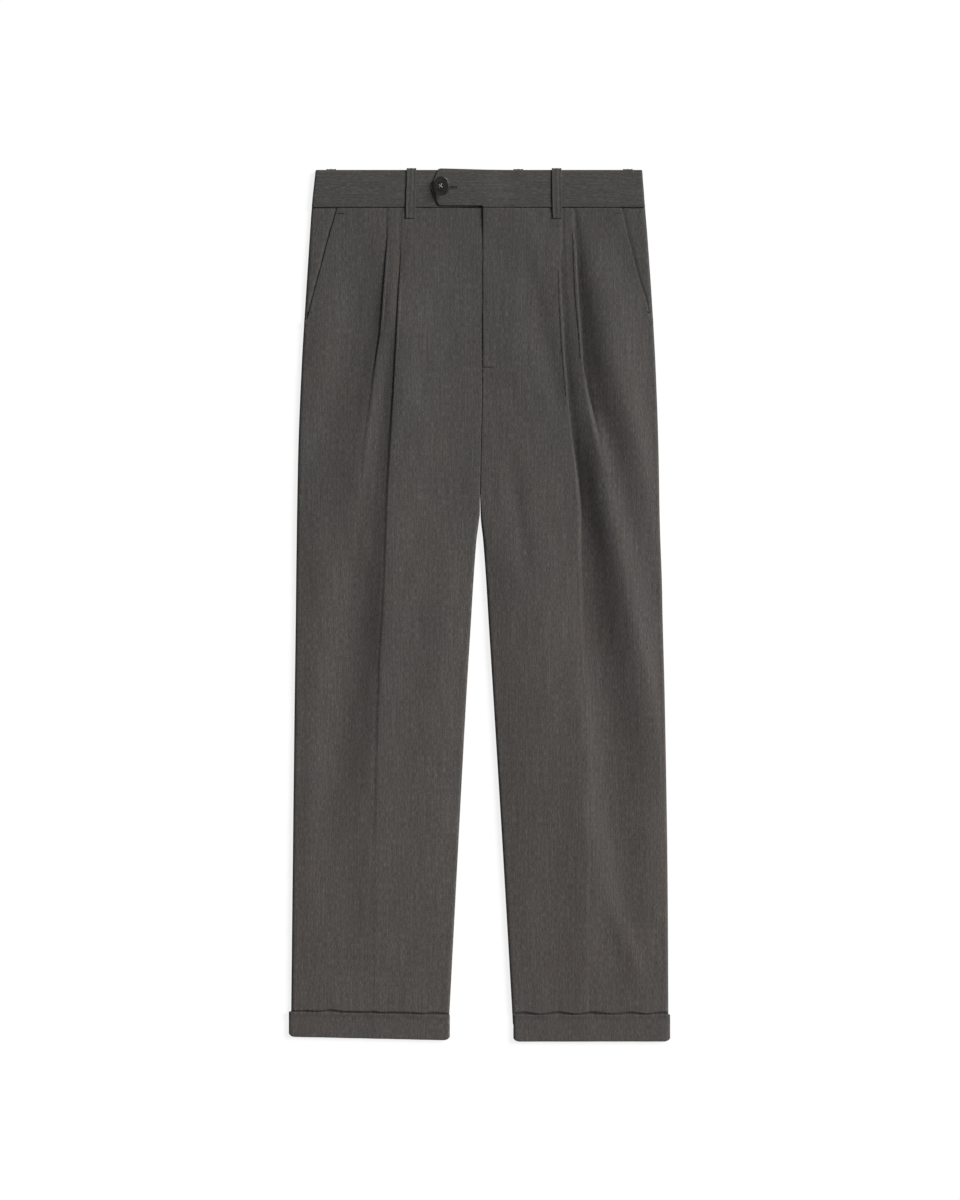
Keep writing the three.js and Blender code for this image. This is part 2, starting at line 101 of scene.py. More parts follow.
CLOTH_SPACE = 0.3  # between layers
LOOP_LIFT = 1.5  # the waist lies on its back belt loops
LIFT_START = 380
HIP_TOP = 6.1
LEG_TOP = 9.4
HEM_TOP = 6.6
EDGE_TOP = 6.8  # beside a side seam or an inseam
LOWEST_FRONT = 2.2
BAND_THICKNESS = 2.4
BAND_BACK_MID = LOOP_LIFT + BAND_THICKNESS / 2
BAND_FRONT_MID = BAND_BACK_MID + 3
UNDER_BAND = BAND_FRONT_MID - BAND_THICKNESS / 2 - CLOTH_SPACE  # top of what runs on under the waistband
SEAM_REACH = 4.2  # how far from a side seam the cloth begins to turn down to it
FOLD_BEFORE = 5  # how far a pleat's folded edge is worked in on the cloth inside it
FOLD_BEYOND = 6.5  # and outside it

FLY_EDGE = 4
FLY_UNDER = 10
FLY_MOUND = 40
TAB_RAMP = (2, 40)
TAB_THICKNESS = 1.6
TAB_LIFT = (BAND_THICKNESS + TAB_THICKNESS) / 2 + CLOTH_SPACE

# Edges of each leg: y, outer, inner.
OUTLINE = {
    "right": [
        (522, 197, 0), (477.6, 201.4, 0), (438.6, 204.1, 0), (366.6, 208.8, 0), (294.6, 213.2, 0),
        (198.6, 217.3, 0), (107, 219.2, 0.4), (78.6, 219.6, 3.6), (30.6, 220.2, 7.2), (-17.4, 220.7, 10.1),
        (-113.4, 222, 16), (-305.4, 224.2, 26.4), (-522, 226.5, 37.8),
    ],
    "left": [
        (522, 195.4, 0), (477.6, 198.8, 0), (438.6, 202, 0), (366.6, 207, 0), (294.6, 211.1, 0),
        (198.6, 214.7, 0), (107, 216.4, 1.4), (78.6, 217.2, 4.3), (30.6, 219, 7.9), (-17.4, 220, 10.8),
        (-113.4, 222.5, 16.8), (-305.4, 225.7, 28.6), (-522, 227, 41.2),
    ],
}

# Slanted mouths of the side pockets: y, out.
POCKET = {
    "right": [(478, 170.6), (440, 181.8), (406, 190.6), (371, 200), (342, 207)],
    "left": [(478, 170.3), (432.6, 180.6), (390, 191.6), (371, 197.9), (342, 205.4)],
}

# Folded edge of each pleat: y, out, step down outside it, depth tucked under it, width of the trough.
PLEATS = {
    "right": {
        "inner": [
            (480, 91.8, 0.4, 0, 6), (440, 93.5, 0.8, 0.4, 7), (400, 95.6, 1.3, 2, 8),
            (373, 97.2, 1.8, 3.2, 10), (306, 100.3, 2.6, 2.6, 16), (246, 103.5, 2.9, 1.4, 20),
            (190, 106.6, 2.8, 0.5, 23), (126, 110.3, 2.2, 0, 26), (18, 114, 1.7, 0, 28),
            (-55, 118.4, 1.9, 0, 30), (-130, 121, 1.5, 0, 30), (-239, 123.5, 0.8, 0, 26),
            (-313, 125.4, 0.4, 0, 22), (-522, 125.6, 0.3, 0, 20),
        ],
        "outer": [
            (480, 108.6, 0.6, 0, 12), (445, 110.4, 1.3, 1.2, 16), (410, 113, 2.4, 3.2, 22),
            (380, 115.2, 3.0, 3.2, 24), (330, 119, 3.0, 2.2, 25), (290, 124.4, 2.5, 0.9, 26),
            (240, 130.5, 1.5, 0, 26),
            (193, 136.8, 0.7, 0, 24), (140, 142, 0.1, 0, 22), (90, 146, 0, 0, 20), (-522, 157, 0, 0, 20),
        ],
    },
    "left": {
        "inner": [
            (480, 97.2, 0.4, 0, 6), (440, 97.0, 0.8, 0.4, 6), (394, 97.2, 1.4, 2.4, 8),
            (340, 99.8, 2.2, 3, 12), (295, 102.2, 3.0, 2.4, 16), (211, 109.8, 3.2, 1.6, 20),
            (150, 115.8, 2.8, 0.8, 22), (110, 118.9, 2.2, 0.2, 22), (60, 119.2, 1.5, 0, 22),
            (-55, 123, 1.2, 0, 22), (-129, 128.6, 1.3, 0, 22), (-202, 129.7, 1.1, 0, 20),
            (-330, 129.7, 0.6, 0, 20), (-522, 129, 0.4, 0, 18),
        ],
        "outer": [
            (480, 110.4, 0.7, 0, 8), (455, 113, 1.3, 1.2, 10), (434, 115.2, 1.9, 3, 12),
            (378, 117.8, 3.2, 3.4, 16), (340, 120.4, 3.5, 3, 19), (295, 123.6, 3.4, 2, 22),
            (250, 129.4, 2.7, 1, 24), (215, 137, 1.6, 0.2, 24), (185, 144, 0.8, 0, 22),
            (140, 153, 0.1, 0, 20), (67, 168.6, 0, 0, 16), (-10, 180, 0, 0, 14), (-522, 184, 0, 0, 14),
        ],
    },
}

# Soft folds and hollows: y, out, height, reach inwards, reach outwards.
FRONT_FOLDS = {
    "right": {
        "swell along the crease": [
            (472, 78, 0, 30, 14), (427, 84, 2.1, 38, 16), (367, 94, 4.5, 44, 15), (307, 97, 6.7, 44, 13),
            (247, 101, 7.4, 46, 13), (187, 105, 7, 48, 14), (127, 109, 5.8, 42, 14),
            (67, 111, 4.8, 38, 14), (7, 115, 4.5, 34, 13), (-53, 118, 4.3, 32, 14),
            (-113, 121, 3.7, 30, 16), (-233, 125, 2.7, 28, 18), (-353, 126, 1.8, 25, 22),
            (-440, 126, 1, 20, 20), (-486, 126, 0.3, 18, 18),
        ],
        "swell along the outer pleat": [
            (465, 105, 0, 8, 8), (400, 112, 1.4, 10, 9), (330, 119, 2.9, 12, 9), (290, 125, 3.5, 12, 11),
            (240, 132, 3.4, 13, 13), (190, 139, 3, 14, 17), (140, 148, 2.1, 16, 20), (90, 156, 1.1, 18, 20),
            (40, 162, 0, 18, 20),
        ],
        "hollow at the side": [
            (466, 132, 0, 14, 20), (420, 138, -2.6, 20, 26), (370, 146, -4.6, 25, 30),
            (310, 156, -5.0, 27, 28), (250, 174, -4.4, 30, 24), (200, 188, -3.0, 28, 16),
            (150, 195, -1.2, 24, 12), (100, 196, 0, 24, 12),
        ],
        "hollow down the leg": [
            (150, 146, 0, 16, 24), (90, 148, -2.2, 20, 24), (20, 152, -5.0, 24, 26),
            (-53, 157, -6.2, 25, 28), (-113, 163, -6.2, 26, 30), (-180, 172, -4.8, 26, 30),
            (-250, 182, -3.0, 26, 26), (-340, 192, -1.2, 24, 20), (-430, 196, 0, 24, 20),
        ],
        "dip in the front": [(312, 70, 0, 9, 9), (266, 68, -1.1, 10, 9), (222, 65, 0, 9, 9)],
        "swell at the inseam": [
            (130, 34, 0, 18, 20), (60, 42, 1.1, 20, 22), (-90, 58, 1.4, 22, 24), (-250, 68, 0.6, 22, 22),
            (-380, 72, 0, 20, 20),
        ],
        "low side swell": [(-120, 196, 0, 18, 12), (-230, 203, 1.3, 20, 12), (-380, 208, 0, 20, 12)],
    },
    "left": {
        "swell outside the pleats": [
            (470, 128, 0, 10, 26), (427, 136, 3.0, 16, 26), (367, 146, 6.4, 19, 28),
            (307, 157, 8.8, 22, 28), (247, 171, 8.8, 25, 22), (187, 187, 6.4, 26, 18),
            (127, 199, 3.8, 26, 14), (70, 206, 1.4, 20, 10), (20, 210, 0, 18, 10),
        ],
        "fold drifting to the side": [
            (236, 134, 0, 8, 8), (187, 143, 4.6, 13, 12), (127, 152, 6.8, 16, 16), (67, 165, 8.2, 19, 18),
            (7, 178, 7.8, 22, 18), (-53, 191, 6.0, 25, 16), (-113, 203, 4.0, 27, 13),
            (-180, 212, 1.6, 24, 10), (-240, 216, 0, 18, 10),
        ],
        "hollow along the crease": [
            (345, 88, 0, 25, 12), (247, 104, -2.4, 38, 14), (187, 112, -3.8, 44, 15),
            (127, 120, -4.8, 46, 16), (67, 128, -5.2, 44, 17), (7, 133, -5.2, 40, 18),
            (-53, 142, -5.2, 32, 22), (-113, 149, -5.0, 27, 26), (-180, 154, -4.4, 22, 30),
            (-260, 159, -3.0, 20, 30), (-350, 168, -1.2, 20, 24), (-430, 170, 0, 20, 20),
        ],
        "low crease": [
            (-50, 122, 0, 20, 12), (-113, 126, 1.8, 22, 13), (-180, 127, 3, 26, 13),
            (-250, 128, 3.7, 30, 15), (-353, 130, 3.5, 30, 18), (-440, 129, 2.2, 26, 22),
            (-486, 129, 0.8, 20, 20),
        ],
        "low slanting fold": [
            (-232, 136, 0, 12, 7), (-300, 145, 1.6, 12, 8), (-341, 153, 2.5, 13, 9),
            (-386, 169, 2.7, 14, 10), (-430, 185, 1.6, 14, 10), (-468, 190, 0, 14, 9),
        ],
        "low side swell": [
            (-110, 212, 0, 30, 8), (-210, 215, 1.7, 34, 8), (-310, 216, 1.2, 30, 8), (-400, 216, 0, 26, 8),
        ],
        "trough to the pleat": [
            (428, 55, 0, 12, 12), (390, 63, -1.3, 13, 12), (330, 75, -2.2, 15, 12), (270, 88, -1.8, 15, 11),
            (222, 96, 0, 14, 10),
        ],
        "swell by the waist": [(474, 62, 0, 15, 12), (436, 60, 1.4, 16, 12), (390, 50, 0, 16, 12)],
        "thigh line": [
            (192, 34, 0, 11, 9), (150, 42, -1.4, 11, 9), (100, 48, -1.8, 12, 9), (50, 56, -1.1, 12, 9),
            (22, 61, 0, 12, 9),
        ],
        "swell at the inseam": [
            (60, 52, 0, 20, 20), (-60, 74, 1.1, 24, 20), (-200, 84, 1, 24, 18), (-330, 80, 0, 20, 20),
        ],
    },
}

# Lifts of the back panels off the surface: y, out, height, reach inwards, reach outwards.
BACK_FOLDS = {
    "right": {
        "seat": [
            (420, 55, 0, 26, 22), (330, 62, 1.5, 30, 22), (240, 76, 2.2, 30, 20), (150, 82, 0.9, 24, 18),
            (80, 86, 0, 20, 16),
        ],
        "under the seat": [
            (215, 22, 0, 12, 12), (165, 48, 1.1, 13, 14), (120, 80, 1.0, 14, 14), (88, 104, 0, 12, 12),
        ],
        "knee": [(40, 150, 0, 12, 16), (-40, 138, 0.6, 14, 16), (-140, 150, 0, 12, 16)],
        "calf": [(-110, 72, 0, 14, 16), (-220, 84, 1.4, 16, 16), (-330, 78, 0, 14, 16)],
    },
    "left": {
        "seat": [
            (410, 70, 0, 24, 20), (310, 66, 1.7, 28, 24), (210, 58, 1.6, 26, 22), (120, 64, 0, 22, 20),
        ],
        "under the seat": [
            (196, 16, 0, 10, 12), (150, 38, 1.0, 12, 13), (96, 66, 1.2, 14, 12), (48, 92, 0, 12, 12),
        ],
        "thigh": [(170, 176, 0, 12, 14), (90, 184, 0.8, 14, 12), (0, 178, 0, 12, 12)],
        "calf": [
            (-90, 62, 0, 14, 14), (-190, 70, 1.1, 16, 14), (-260, 92, 0.8, 14, 14), (-360, 96, 0, 12, 12),
        ],
    },
}

# The pressed crease down each back: y, out.
BACK_CREASE = [(430, 96), (300, 104), (100, 114), (-100, 122), (-300, 126), (-520, 127)]

# Turn-ups; rise is how much higher the end of a leg lies at its side seam than at its inseam.
CUFF = {
    "right": {"top": -491.6, "bottom": -521.9, "rise": 4.2, "outer": 229, "inner": 35.6, "crease": 125.6},
    "left": {"top": -491, "bottom": -523.4, "rise": 0, "outer": 229, "inner": 40.6, "crease": 129},
}
CUFF_WALL = 1.6
CUFF_HEIGHT = 6.2
CUFF_CORNER = 6.5

# End of the waistband's tab: x, low edge, high edge, share of the thickness.
TAB = [
    (-58, 500.4, 503.6, 0.35), (-57.6, 499, 505, 0.8), (-56.6, 496.6, 507, 1), (-54.5, 491.6, 511.4, 1),
    (-50.6, 483.2, 520.4, 1), (-49.6, 481.2, 522.4, 1), (-48.2, 479.9, 523.9, 1), (-46, 479.5, 524.3, 1),
    (-20, 479.5, 523.6, 1), (0, 479.4, 523, 1), (3, 479.2, 522.9, 1),
    (4.6, BAND_BOTTOM, 522.9, 1), (12, BAND_BOTTOM, WAIST_TOP, 1), (TAB_RAMP[1], BAND_BOTTOM, WAIST_TOP, 1),
]

# Belt loops: node, x, slant, whether it lies under the waist.
LOOPS = [
    ("belt_loop_front_right", -82.2, 0.022, False), ("belt_loop_front_left", 93, -0.02, False),
    ("belt_loop_side_right", -178, 0, True), ("belt_loop_side_left", 178, 0, True),
    ("belt_loop_back_right", -44, 0, True), ("belt_loop_back_left", 46.5, 0, True),
]
LOOP_WIDTH = 11.6
LOOP_THICKNESS = 1.1
LOOP_BOTTOM = 465
LOOP_CENTRE = 490  # a slanted loop turns about here

# Bar tacks: front panel, x, y, width, length of a stitch.
BAR_TACKS = [
    ("left", 9, FLY_BOTTOM - 0.2, 11, 1.5),
    ("right", -167, 470.6, 8.5, 1.4), ("left", 166.6, 470.6, 8.5, 1.4),
    ("right", -203.5, 352, 4.5, 1.2), ("left", 203.5, 352, 4.5, 1.2),
]
STITCH_SPACING = 0.42

BUTTON_RADIUS = 11.4
BUTTON_THICKNESS = 2.6
BUTTON_TILT = math.radians(38)
BUTTON_LEAN = math.radians(10)
HOLE_SPACING = 2.2
HOLE_RADIUS = 1.0
SHANK_TURNS = 9

# Rings of the button's face from its rim inwards: width, rise.
BUTTON_FACE = [(1.5, 0.12), (0.8, 0.02), (0.5, -0.2), (0.5, -0.36), (0.7, -0.16), (2.0, -0.06)]


# ---------------------------------------------------------------- settings

class TrouserCloth(bpy.types.PropertyGroup):
    """The suiting that the trousers are cut from."""
    yarn: FloatVectorProperty(
        name="Yarn", description="Colour of most of the yarn", subtype="COLOR", size=3, min=0, max=1,
        default=(0.0415, 0.0385, 0.0360))
    dark_yarn: FloatVectorProperty(
        name="Dark yarn", description="Colour of the darkest fibres", subtype="COLOR", size=3, min=0, max=1,
        default=(0.0200, 0.0192, 0.0182))
    light_yarn: FloatVectorProperty(
        name="Light yarn", description="Colour of the palest fibres", subtype="COLOR", size=3, min=0, max=1,
        default=(0.0780, 0.0730, 0.0685))
    thickness: FloatProperty(
        name="Thickness", description="Thickness of one layer of cloth", unit="LENGTH",
        default=0.55 * MM, min=0.3 * MM, max=1.2 * MM)
    nap: FloatProperty(
        name="Nap", description="How far the surface of the cloth is raised by its yarns", unit="LENGTH",
        default=0.14 * MM, min=0, max=1 * MM)


class TrouserFindings(bpy.types.PropertyGroup):
    """Button, thread and zip."""
    button: FloatVectorProperty(
        name="Button", description="Colour of the button", subtype="COLOR", size=3, min=0, max=1,
        default=(0.024, 0.021, 0.017))
    button_vein: FloatVectorProperty(
        name="Button vein", description="Colour of the paler veins in the button", subtype="COLOR", size=3,
        min=0, max=1, default=(0.095, 0.09, 0.068))
    button_thread: FloatVectorProperty(
        name="Button thread", description="Colour of the thread that holds the button", subtype="COLOR",
        size=3, min=0, max=1, default=(0.42, 0.40, 0.34))
    zip_tape: FloatVectorProperty(
        name="Zip tape", description="Colour of the zip's woven tape", subtype="COLOR", size=3,
        min=0, max=1, default=(0.03, 0.029, 0.028))


class TrouserStage(bpy.types.PropertyGroup):
    """Floor, light and camera."""
    camera_height: FloatProperty(
        name="Camera height", description="Height of the camera above the floor", unit="LENGTH",
        default=3.406, min=0.5, max=10)
    key_strength: FloatProperty(
        name="Key light", description="Strength of the light from the upper right", default=6.1,
        min=0, max=50)
    key_softness: FloatProperty(
        name="Key softness", description="Angle that the key light fills; a wider one has softer shadows",
        subtype="ANGLE", default=math.radians(27), min=0, max=math.pi)
    key_height: FloatProperty(
        name="Key height", description="Angle of the key light above the floor", subtype="ANGLE",
        default=math.radians(36), min=0.1, max=1.5)
    key_turn: FloatProperty(
        name="Key turn", description="Direction the key light comes from, turned from the wearer's left",
        subtype="ANGLE", default=math.radians(28), min=-math.pi, max=math.pi)
    fill: FloatProperty(
        name="Fill", description="Strength of the light from all round", default=0.27, min=0, max=5)


# ---------------------------------------------------------------- curves and tables

def mix(a, b, share):
    return a + (b - a) * share


def ease(start, end, value):
    """From 0 at the start to 1 at the end, level at both."""
    t = np.clip((value - start) / (end - start), 0, 1)
    return t * t * (3 - 2 * t)


def along(rows, y):
    """The columns of a table after its first, at the height y, on smooth lines through its rows."""
    table = np.asarray(rows, float)
    heights = table[:, 0]
    if y >= heights[0]:
        return table[0, 1:]
    if y <= heights[-1]:
        return table[-1, 1:]
    i = int(np.searchsorted(-heights, -y, side="right")) - 1
    before, after = max(i - 1, 0), min(i + 2, len(table) - 1)
    span = heights[i + 1] - heights[i]
    slope_a = (table[i + 1, 1:] - table[before, 1:]) / (heights[i + 1] - heights[before])
    slope_b = (table[after, 1:] - table[i, 1:]) / (heights[after] - heights[i])
    t = (y - heights[i]) / span
    return (
        (2 * t ** 3 - 3 * t ** 2 + 1) * table[i, 1:] + (t ** 3 - 2 * t ** 2 + t) * span * slope_a
        + (3 * t ** 2 - 2 * t ** 3) * table[i + 1, 1:] + (t ** 3 - t ** 2) * span * slope_b
    )


def outer_edge(side, y):
    return along(OUTLINE[side], y)[0]


def inner_edge(side, y):
    return along(OUTLINE[side], y)[1]


def pocket_edge(side, y):
    return along(POCKET[side], y)[0]


def ripple(x, y, size, seed=0.0):
    """A smooth unevenness of about -0.5 to 0.5, with waves about this size."""
    return noise.noise(Vector((x / size, y / size, seed)))


# ---------------------------------------------------------------- meshes

def grid_faces(height, width, ring):
    r, c = np.meshgrid(np.arange(height - 1), np.arange(width if ring else width - 1), indexing="ij")
    after = (c + 1) % width
    corners = [r * width + c, r * width + after, (r + 1) * width + after, (r + 1) * width + c]
    return np.stack(corners, axis=-1).reshape(-1, 4)


def put_in_scene(name, mesh):
    piece = bpy.data.objects.new(name, mesh)
    bpy.context.scene.collection.objects.link(piece)
    return piece


def surface(node, points, grain, ring=False, up=True, caps=False):
    """A smooth surface through a grid of points, rows of columns, in millimetres, named for its solid."""
    name = f"{node}_cloth"
    points = np.asarray(points, float)
    height, width = points.shape[:2]
    flat = points.reshape(-1, 3)
    faces = grid_faces(height, width, ring)
    a, b, c = (flat[faces[:, i]] for i in (0, 1, 2))
    normals = np.cross(b - a, c - a)
    turned = (normals * a).sum() if caps else normals[:, 2].sum() * (1 if up else -1)
    if turned < 0:
        faces = faces[:, ::-1]
    polygons = faces.tolist()
    if caps:
        first = list(range(width))
        last = [(height - 1) * width + i for i in range(width)]
        polygons += [first[::-1], last] if turned < 0 else [first, last[::-1]]
    mesh = bpy.data.meshes.new(name)
    mesh.from_pydata((flat * MM).tolist(), [], polygons)
    mesh.update()
    grain = np.asarray(grain, float).reshape(-1, 2) * MM
    loops = np.empty(len(mesh.loops), int)
    mesh.loops.foreach_get("vertex_index", loops)
    mesh.uv_layers.new(name=GRAIN).data.foreach_set("uv", grain[loops].ravel())
    mesh.shade_smooth()
    return put_in_scene(name, mesh)


def only(piece):
    """Makes this the one selected and active object."""
    for other in bpy.context.view_layer.objects:
        other.select_set(False)
    piece.select_set(True)
    bpy.context.view_layer.objects.active = piece


def apply_modifier(piece, kind, **settings):
    only(piece)
    modifier = piece.modifiers.new(kind.title(), kind)
    for key, value in settings.items():
        setattr(modifier, key, value)
    bpy.ops.object.modifier_apply(modifier=modifier.name)


def thicken(piece, thickness):
    """Gives a surface its wall, on its inner side."""
    apply_modifier(piece, "SOLIDIFY", thickness=thickness, offset=-1, use_even_offset=False)


def join(name, pieces):
    only(pieces[0])
    for piece in pieces:
        piece.select_set(True)
    bpy.ops.object.join()
    pieces[0].name = name
    pieces[0].data.name = name
    return pieces[0]


def finish_piece(piece, material, node=None):
    piece.data.materials.clear()
    piece.data.materials.append(material)
    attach(piece, "root")
    if node:
        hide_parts(node)
    return piece


def cloth_piece(piece, node):
    """A piece cut from the suiting."""
    finish_piece(piece, suiting_material(), node)
    return piece


# ---------------------------------------------------------------- materials

SUITING_RIBS = 1500  # a metre, as the next
ZIP_RIBS = 1200
BROWN_AND_PAINTED_LIGHT = (0.45, -0.25)  # metres along the garment, from where the cloth turns browner and is painted paler, as painted light, to where it ends


def add_node(tree, kind, **settings):
    made = tree.nodes.new(kind)
    for key, value in settings.items():
        setattr(made, key, value)
    return made


def math_node(tree, operation, a, b=None, c=None):
    made = add_node(tree, "ShaderNodeMath", operation=operation)
    for socket, value in zip(made.inputs, (a, b, c)):
        if value is None:
            continue
        if isinstance(value, (int, float)):
            socket.default_value = value
        else:
            tree.links.new(value, socket)
    return made.outputs[0]


def stretched(tree, vector, scale):
    made = add_node(tree, "ShaderNodeMapping")
    made.inputs["Scale"].default_value = scale
    tree.links.new(vector, made.inputs["Vector"])
    return made.outputs["Vector"]


def noise_value(tree, vector, scale, detail=2.0, roughness=0.55):
    made = add_node(tree, "ShaderNodeTexNoise")
    made.inputs["Scale"].default_value = 1
    made.inputs["Detail"].default_value = detail
    made.inputs["Roughness"].default_value = roughness
    tree.links.new(stretched(tree, vector, scale), made.inputs["Vector"])
    return made.outputs["Fac"]


def spread(tree, value, low, high):
    """Opens a middling value out to the whole of 0 to 1."""
    made = add_node(tree, "ShaderNodeMapRange", clamp=True)
    made.inputs["From Min"].default_value = low
    made.inputs["From Max"].default_value = high
    tree.links.new(value, made.inputs["Value"])
    return made.outputs["Result"]


def blend_colour(tree, share, a, b):
    made = add_node(tree, "ShaderNodeMix", data_type="RGBA")
    tree.links.new(share, made.inputs["Factor"])
    for socket, value in ((made.inputs[6], a), (made.inputs[7], b)):
        if isinstance(value, (tuple, list)):
            socket.default_value = value
        else:
            tree.links.new(value, socket)
    return made.outputs[2]


def group(name, inputs, outputs):
    """A new shader node group, with its input and output nodes."""
    tree = bpy.data.node_groups.new(name, "ShaderNodeTree")
    for in_out, sockets in (("INPUT", inputs), ("OUTPUT", outputs)):
        for socket, kind in sockets:
            tree.interface.new_socket(socket, in_out=in_out, socket_type=kind)
    return tree, add_node(tree, "NodeGroupInput"), add_node(tree, "NodeGroupOutput")


def melange_group():
    """Yarns spun from fibres of several greys: streaks along the grain, flecks and a faint drift of hue.

    Brown and painted light, from 0 to 1, makes the cloth a little browner and paints it paler, as painted
    light.
    """
    name = "Melange yarn"
    if name in bpy.data.node_groups:
        return bpy.data.node_groups[name]
    tree, given, result = group(
        name,
        [("Grain", "NodeSocketVector"), ("Yarn", "NodeSocketColor"), ("Dark yarn", "NodeSocketColor"),
         ("Light yarn", "NodeSocketColor"), ("Brown and painted light", "NodeSocketFloat")],
        [("Color", "NodeSocketColor"), ("Height", "NodeSocketFloat"), ("Roughness", "NodeSocketFloat")])
    grain = given.outputs["Grain"]
    streak = noise_value(tree, grain, (900, 150, 1), detail=3, roughness=0.62)
    cross = noise_value(tree, grain, (620, 760, 1), detail=2)
    long_streak = noise_value(tree, grain, (520, 18, 1), detail=2)
    fleck = noise_value(tree, grain, (560, 330, 1), detail=1)
    drift = noise_value(tree, grain, (16, 7, 1), detail=2)
    hue = noise_value(tree, grain, (300, 26, 1), detail=2)
    warmth = noise_value(tree, grain, (12, 6, 1), detail=2)
    tone = math_node(tree, "ADD", math_node(tree, "MULTIPLY", streak, 0.47),
                     math_node(tree, "MULTIPLY", long_streak, 0.20))
    tone = math_node(tree, "ADD", tone, math_node(tree, "MULTIPLY", cross, 0.27))
    tone = math_node(tree, "ADD", tone, math_node(tree, "MULTIPLY", drift, 0.06))
    dark = spread(tree, tone, 0.50, 0.34)
    light = math_node(tree, "MAXIMUM", spread(tree, tone, 0.50, 0.66),
                      math_node(tree, "MULTIPLY", spread(tree, fleck, 0.70, 0.80), 0.9))
    colour = blend_colour(tree, dark, given.outputs["Yarn"], given.outputs["Dark yarn"])
    colour = blend_colour(tree, light, colour, given.outputs["Light yarn"])
    tint = add_node(tree, "ShaderNodeMix", data_type="RGBA", blend_type="MULTIPLY")
    tint.inputs["Factor"].default_value = 1
    hues = add_node(tree, "ShaderNodeValToRGB")
    ramp = hues.color_ramp
    ramp.elements[0].position, ramp.elements[0].color = 0.34, (0.945, 1.005, 1.05, 1)
    ramp.elements[1].position, ramp.elements[1].color = 0.66, (1.06, 0.982, 0.96, 1)
    middle = ramp.elements.new(0.5)
    middle.color = (1.008, 0.994, 1.0, 1)
    hue = math_node(tree, "ADD", math_node(tree, "MULTIPLY", hue, 0.38),
                    math_node(tree, "MULTIPLY", warmth, 0.45))
    hue = math_node(tree, "ADD", hue, math_node(tree, "MULTIPLY", given.outputs["Brown and painted light"], 0.17))
    tree.links.new(hue, hues.inputs["Fac"])
    tree.links.new(colour, tint.inputs[6])
    tree.links.new(hues.outputs["Color"], tint.inputs[7])
    # painted light: the cloth's value is raised by up to 13 % towards the hems
    paler = add_node(tree, "ShaderNodeHueSaturation")
    value = math_node(tree, "MULTIPLY_ADD", given.outputs["Brown and painted light"], 0.13, 0.955)
    tree.links.new(value, paler.inputs["Value"])
    tree.links.new(tint.outputs[2], paler.inputs["Color"])
    tree.links.new(paler.outputs["Color"], result.inputs["Color"])
    fuzz = math_node(tree, "ADD", math_node(tree, "MULTIPLY", streak, 0.6),
                     math_node(tree, "MULTIPLY", cross, 0.4))
    tree.links.new(math_node(tree, "MULTIPLY_ADD", fuzz, 0.3, 0.72), result.inputs["Roughness"])
    tree.links.new(fuzz, result.inputs["Height"])
    return tree


def twill_group():
    """The fine slanting ribs of a twill, as a height from 0 to 1."""
    name = "Twill rib"
    if name in bpy.data.node_groups:
        return bpy.data.node_groups[name]
    tree, given, result = group(name, [("Grain", "NodeSocketVector"), ("Ribs a metre", "NodeSocketFloat")],
                                [("Height", "NodeSocketFloat")])
    parts = add_node(tree, "ShaderNodeSeparateXYZ")
    tree.links.new(given.outputs["Grain"], parts.inputs[0])
    slant = math_node(tree, "MULTIPLY", parts.outputs["Y"], 0.6)
    turn = math_node(tree, "MULTIPLY", math_node(tree, "ADD", parts.outputs["X"], slant),
                     given.outputs["Ribs a metre"])
    wave = math_node(tree, "SINE", math_node(tree, "MULTIPLY", turn, 2 * math.pi))
    tree.links.new(math_node(tree, "MULTIPLY_ADD", wave, 0.5, 0.5), result.inputs["Height"])
    return tree


def new_material(name):
    material = bpy.data.materials.new(name)
    material.use_nodes = True
    return material, material.node_tree, material.node_tree.nodes["Principled BSDF"]


def use_group(tree, node_tree, **values):
    made = add_node(tree, "ShaderNodeGroup", node_tree=node_tree)
    for key, value in values.items():
        socket = made.inputs[key.replace("_", " ")]
        if isinstance(value, bpy.types.NodeSocket):
            tree.links.new(value, socket)
        else:
            socket.default_value = value
    return made


def opaque(colour):
    return (*colour, 1)


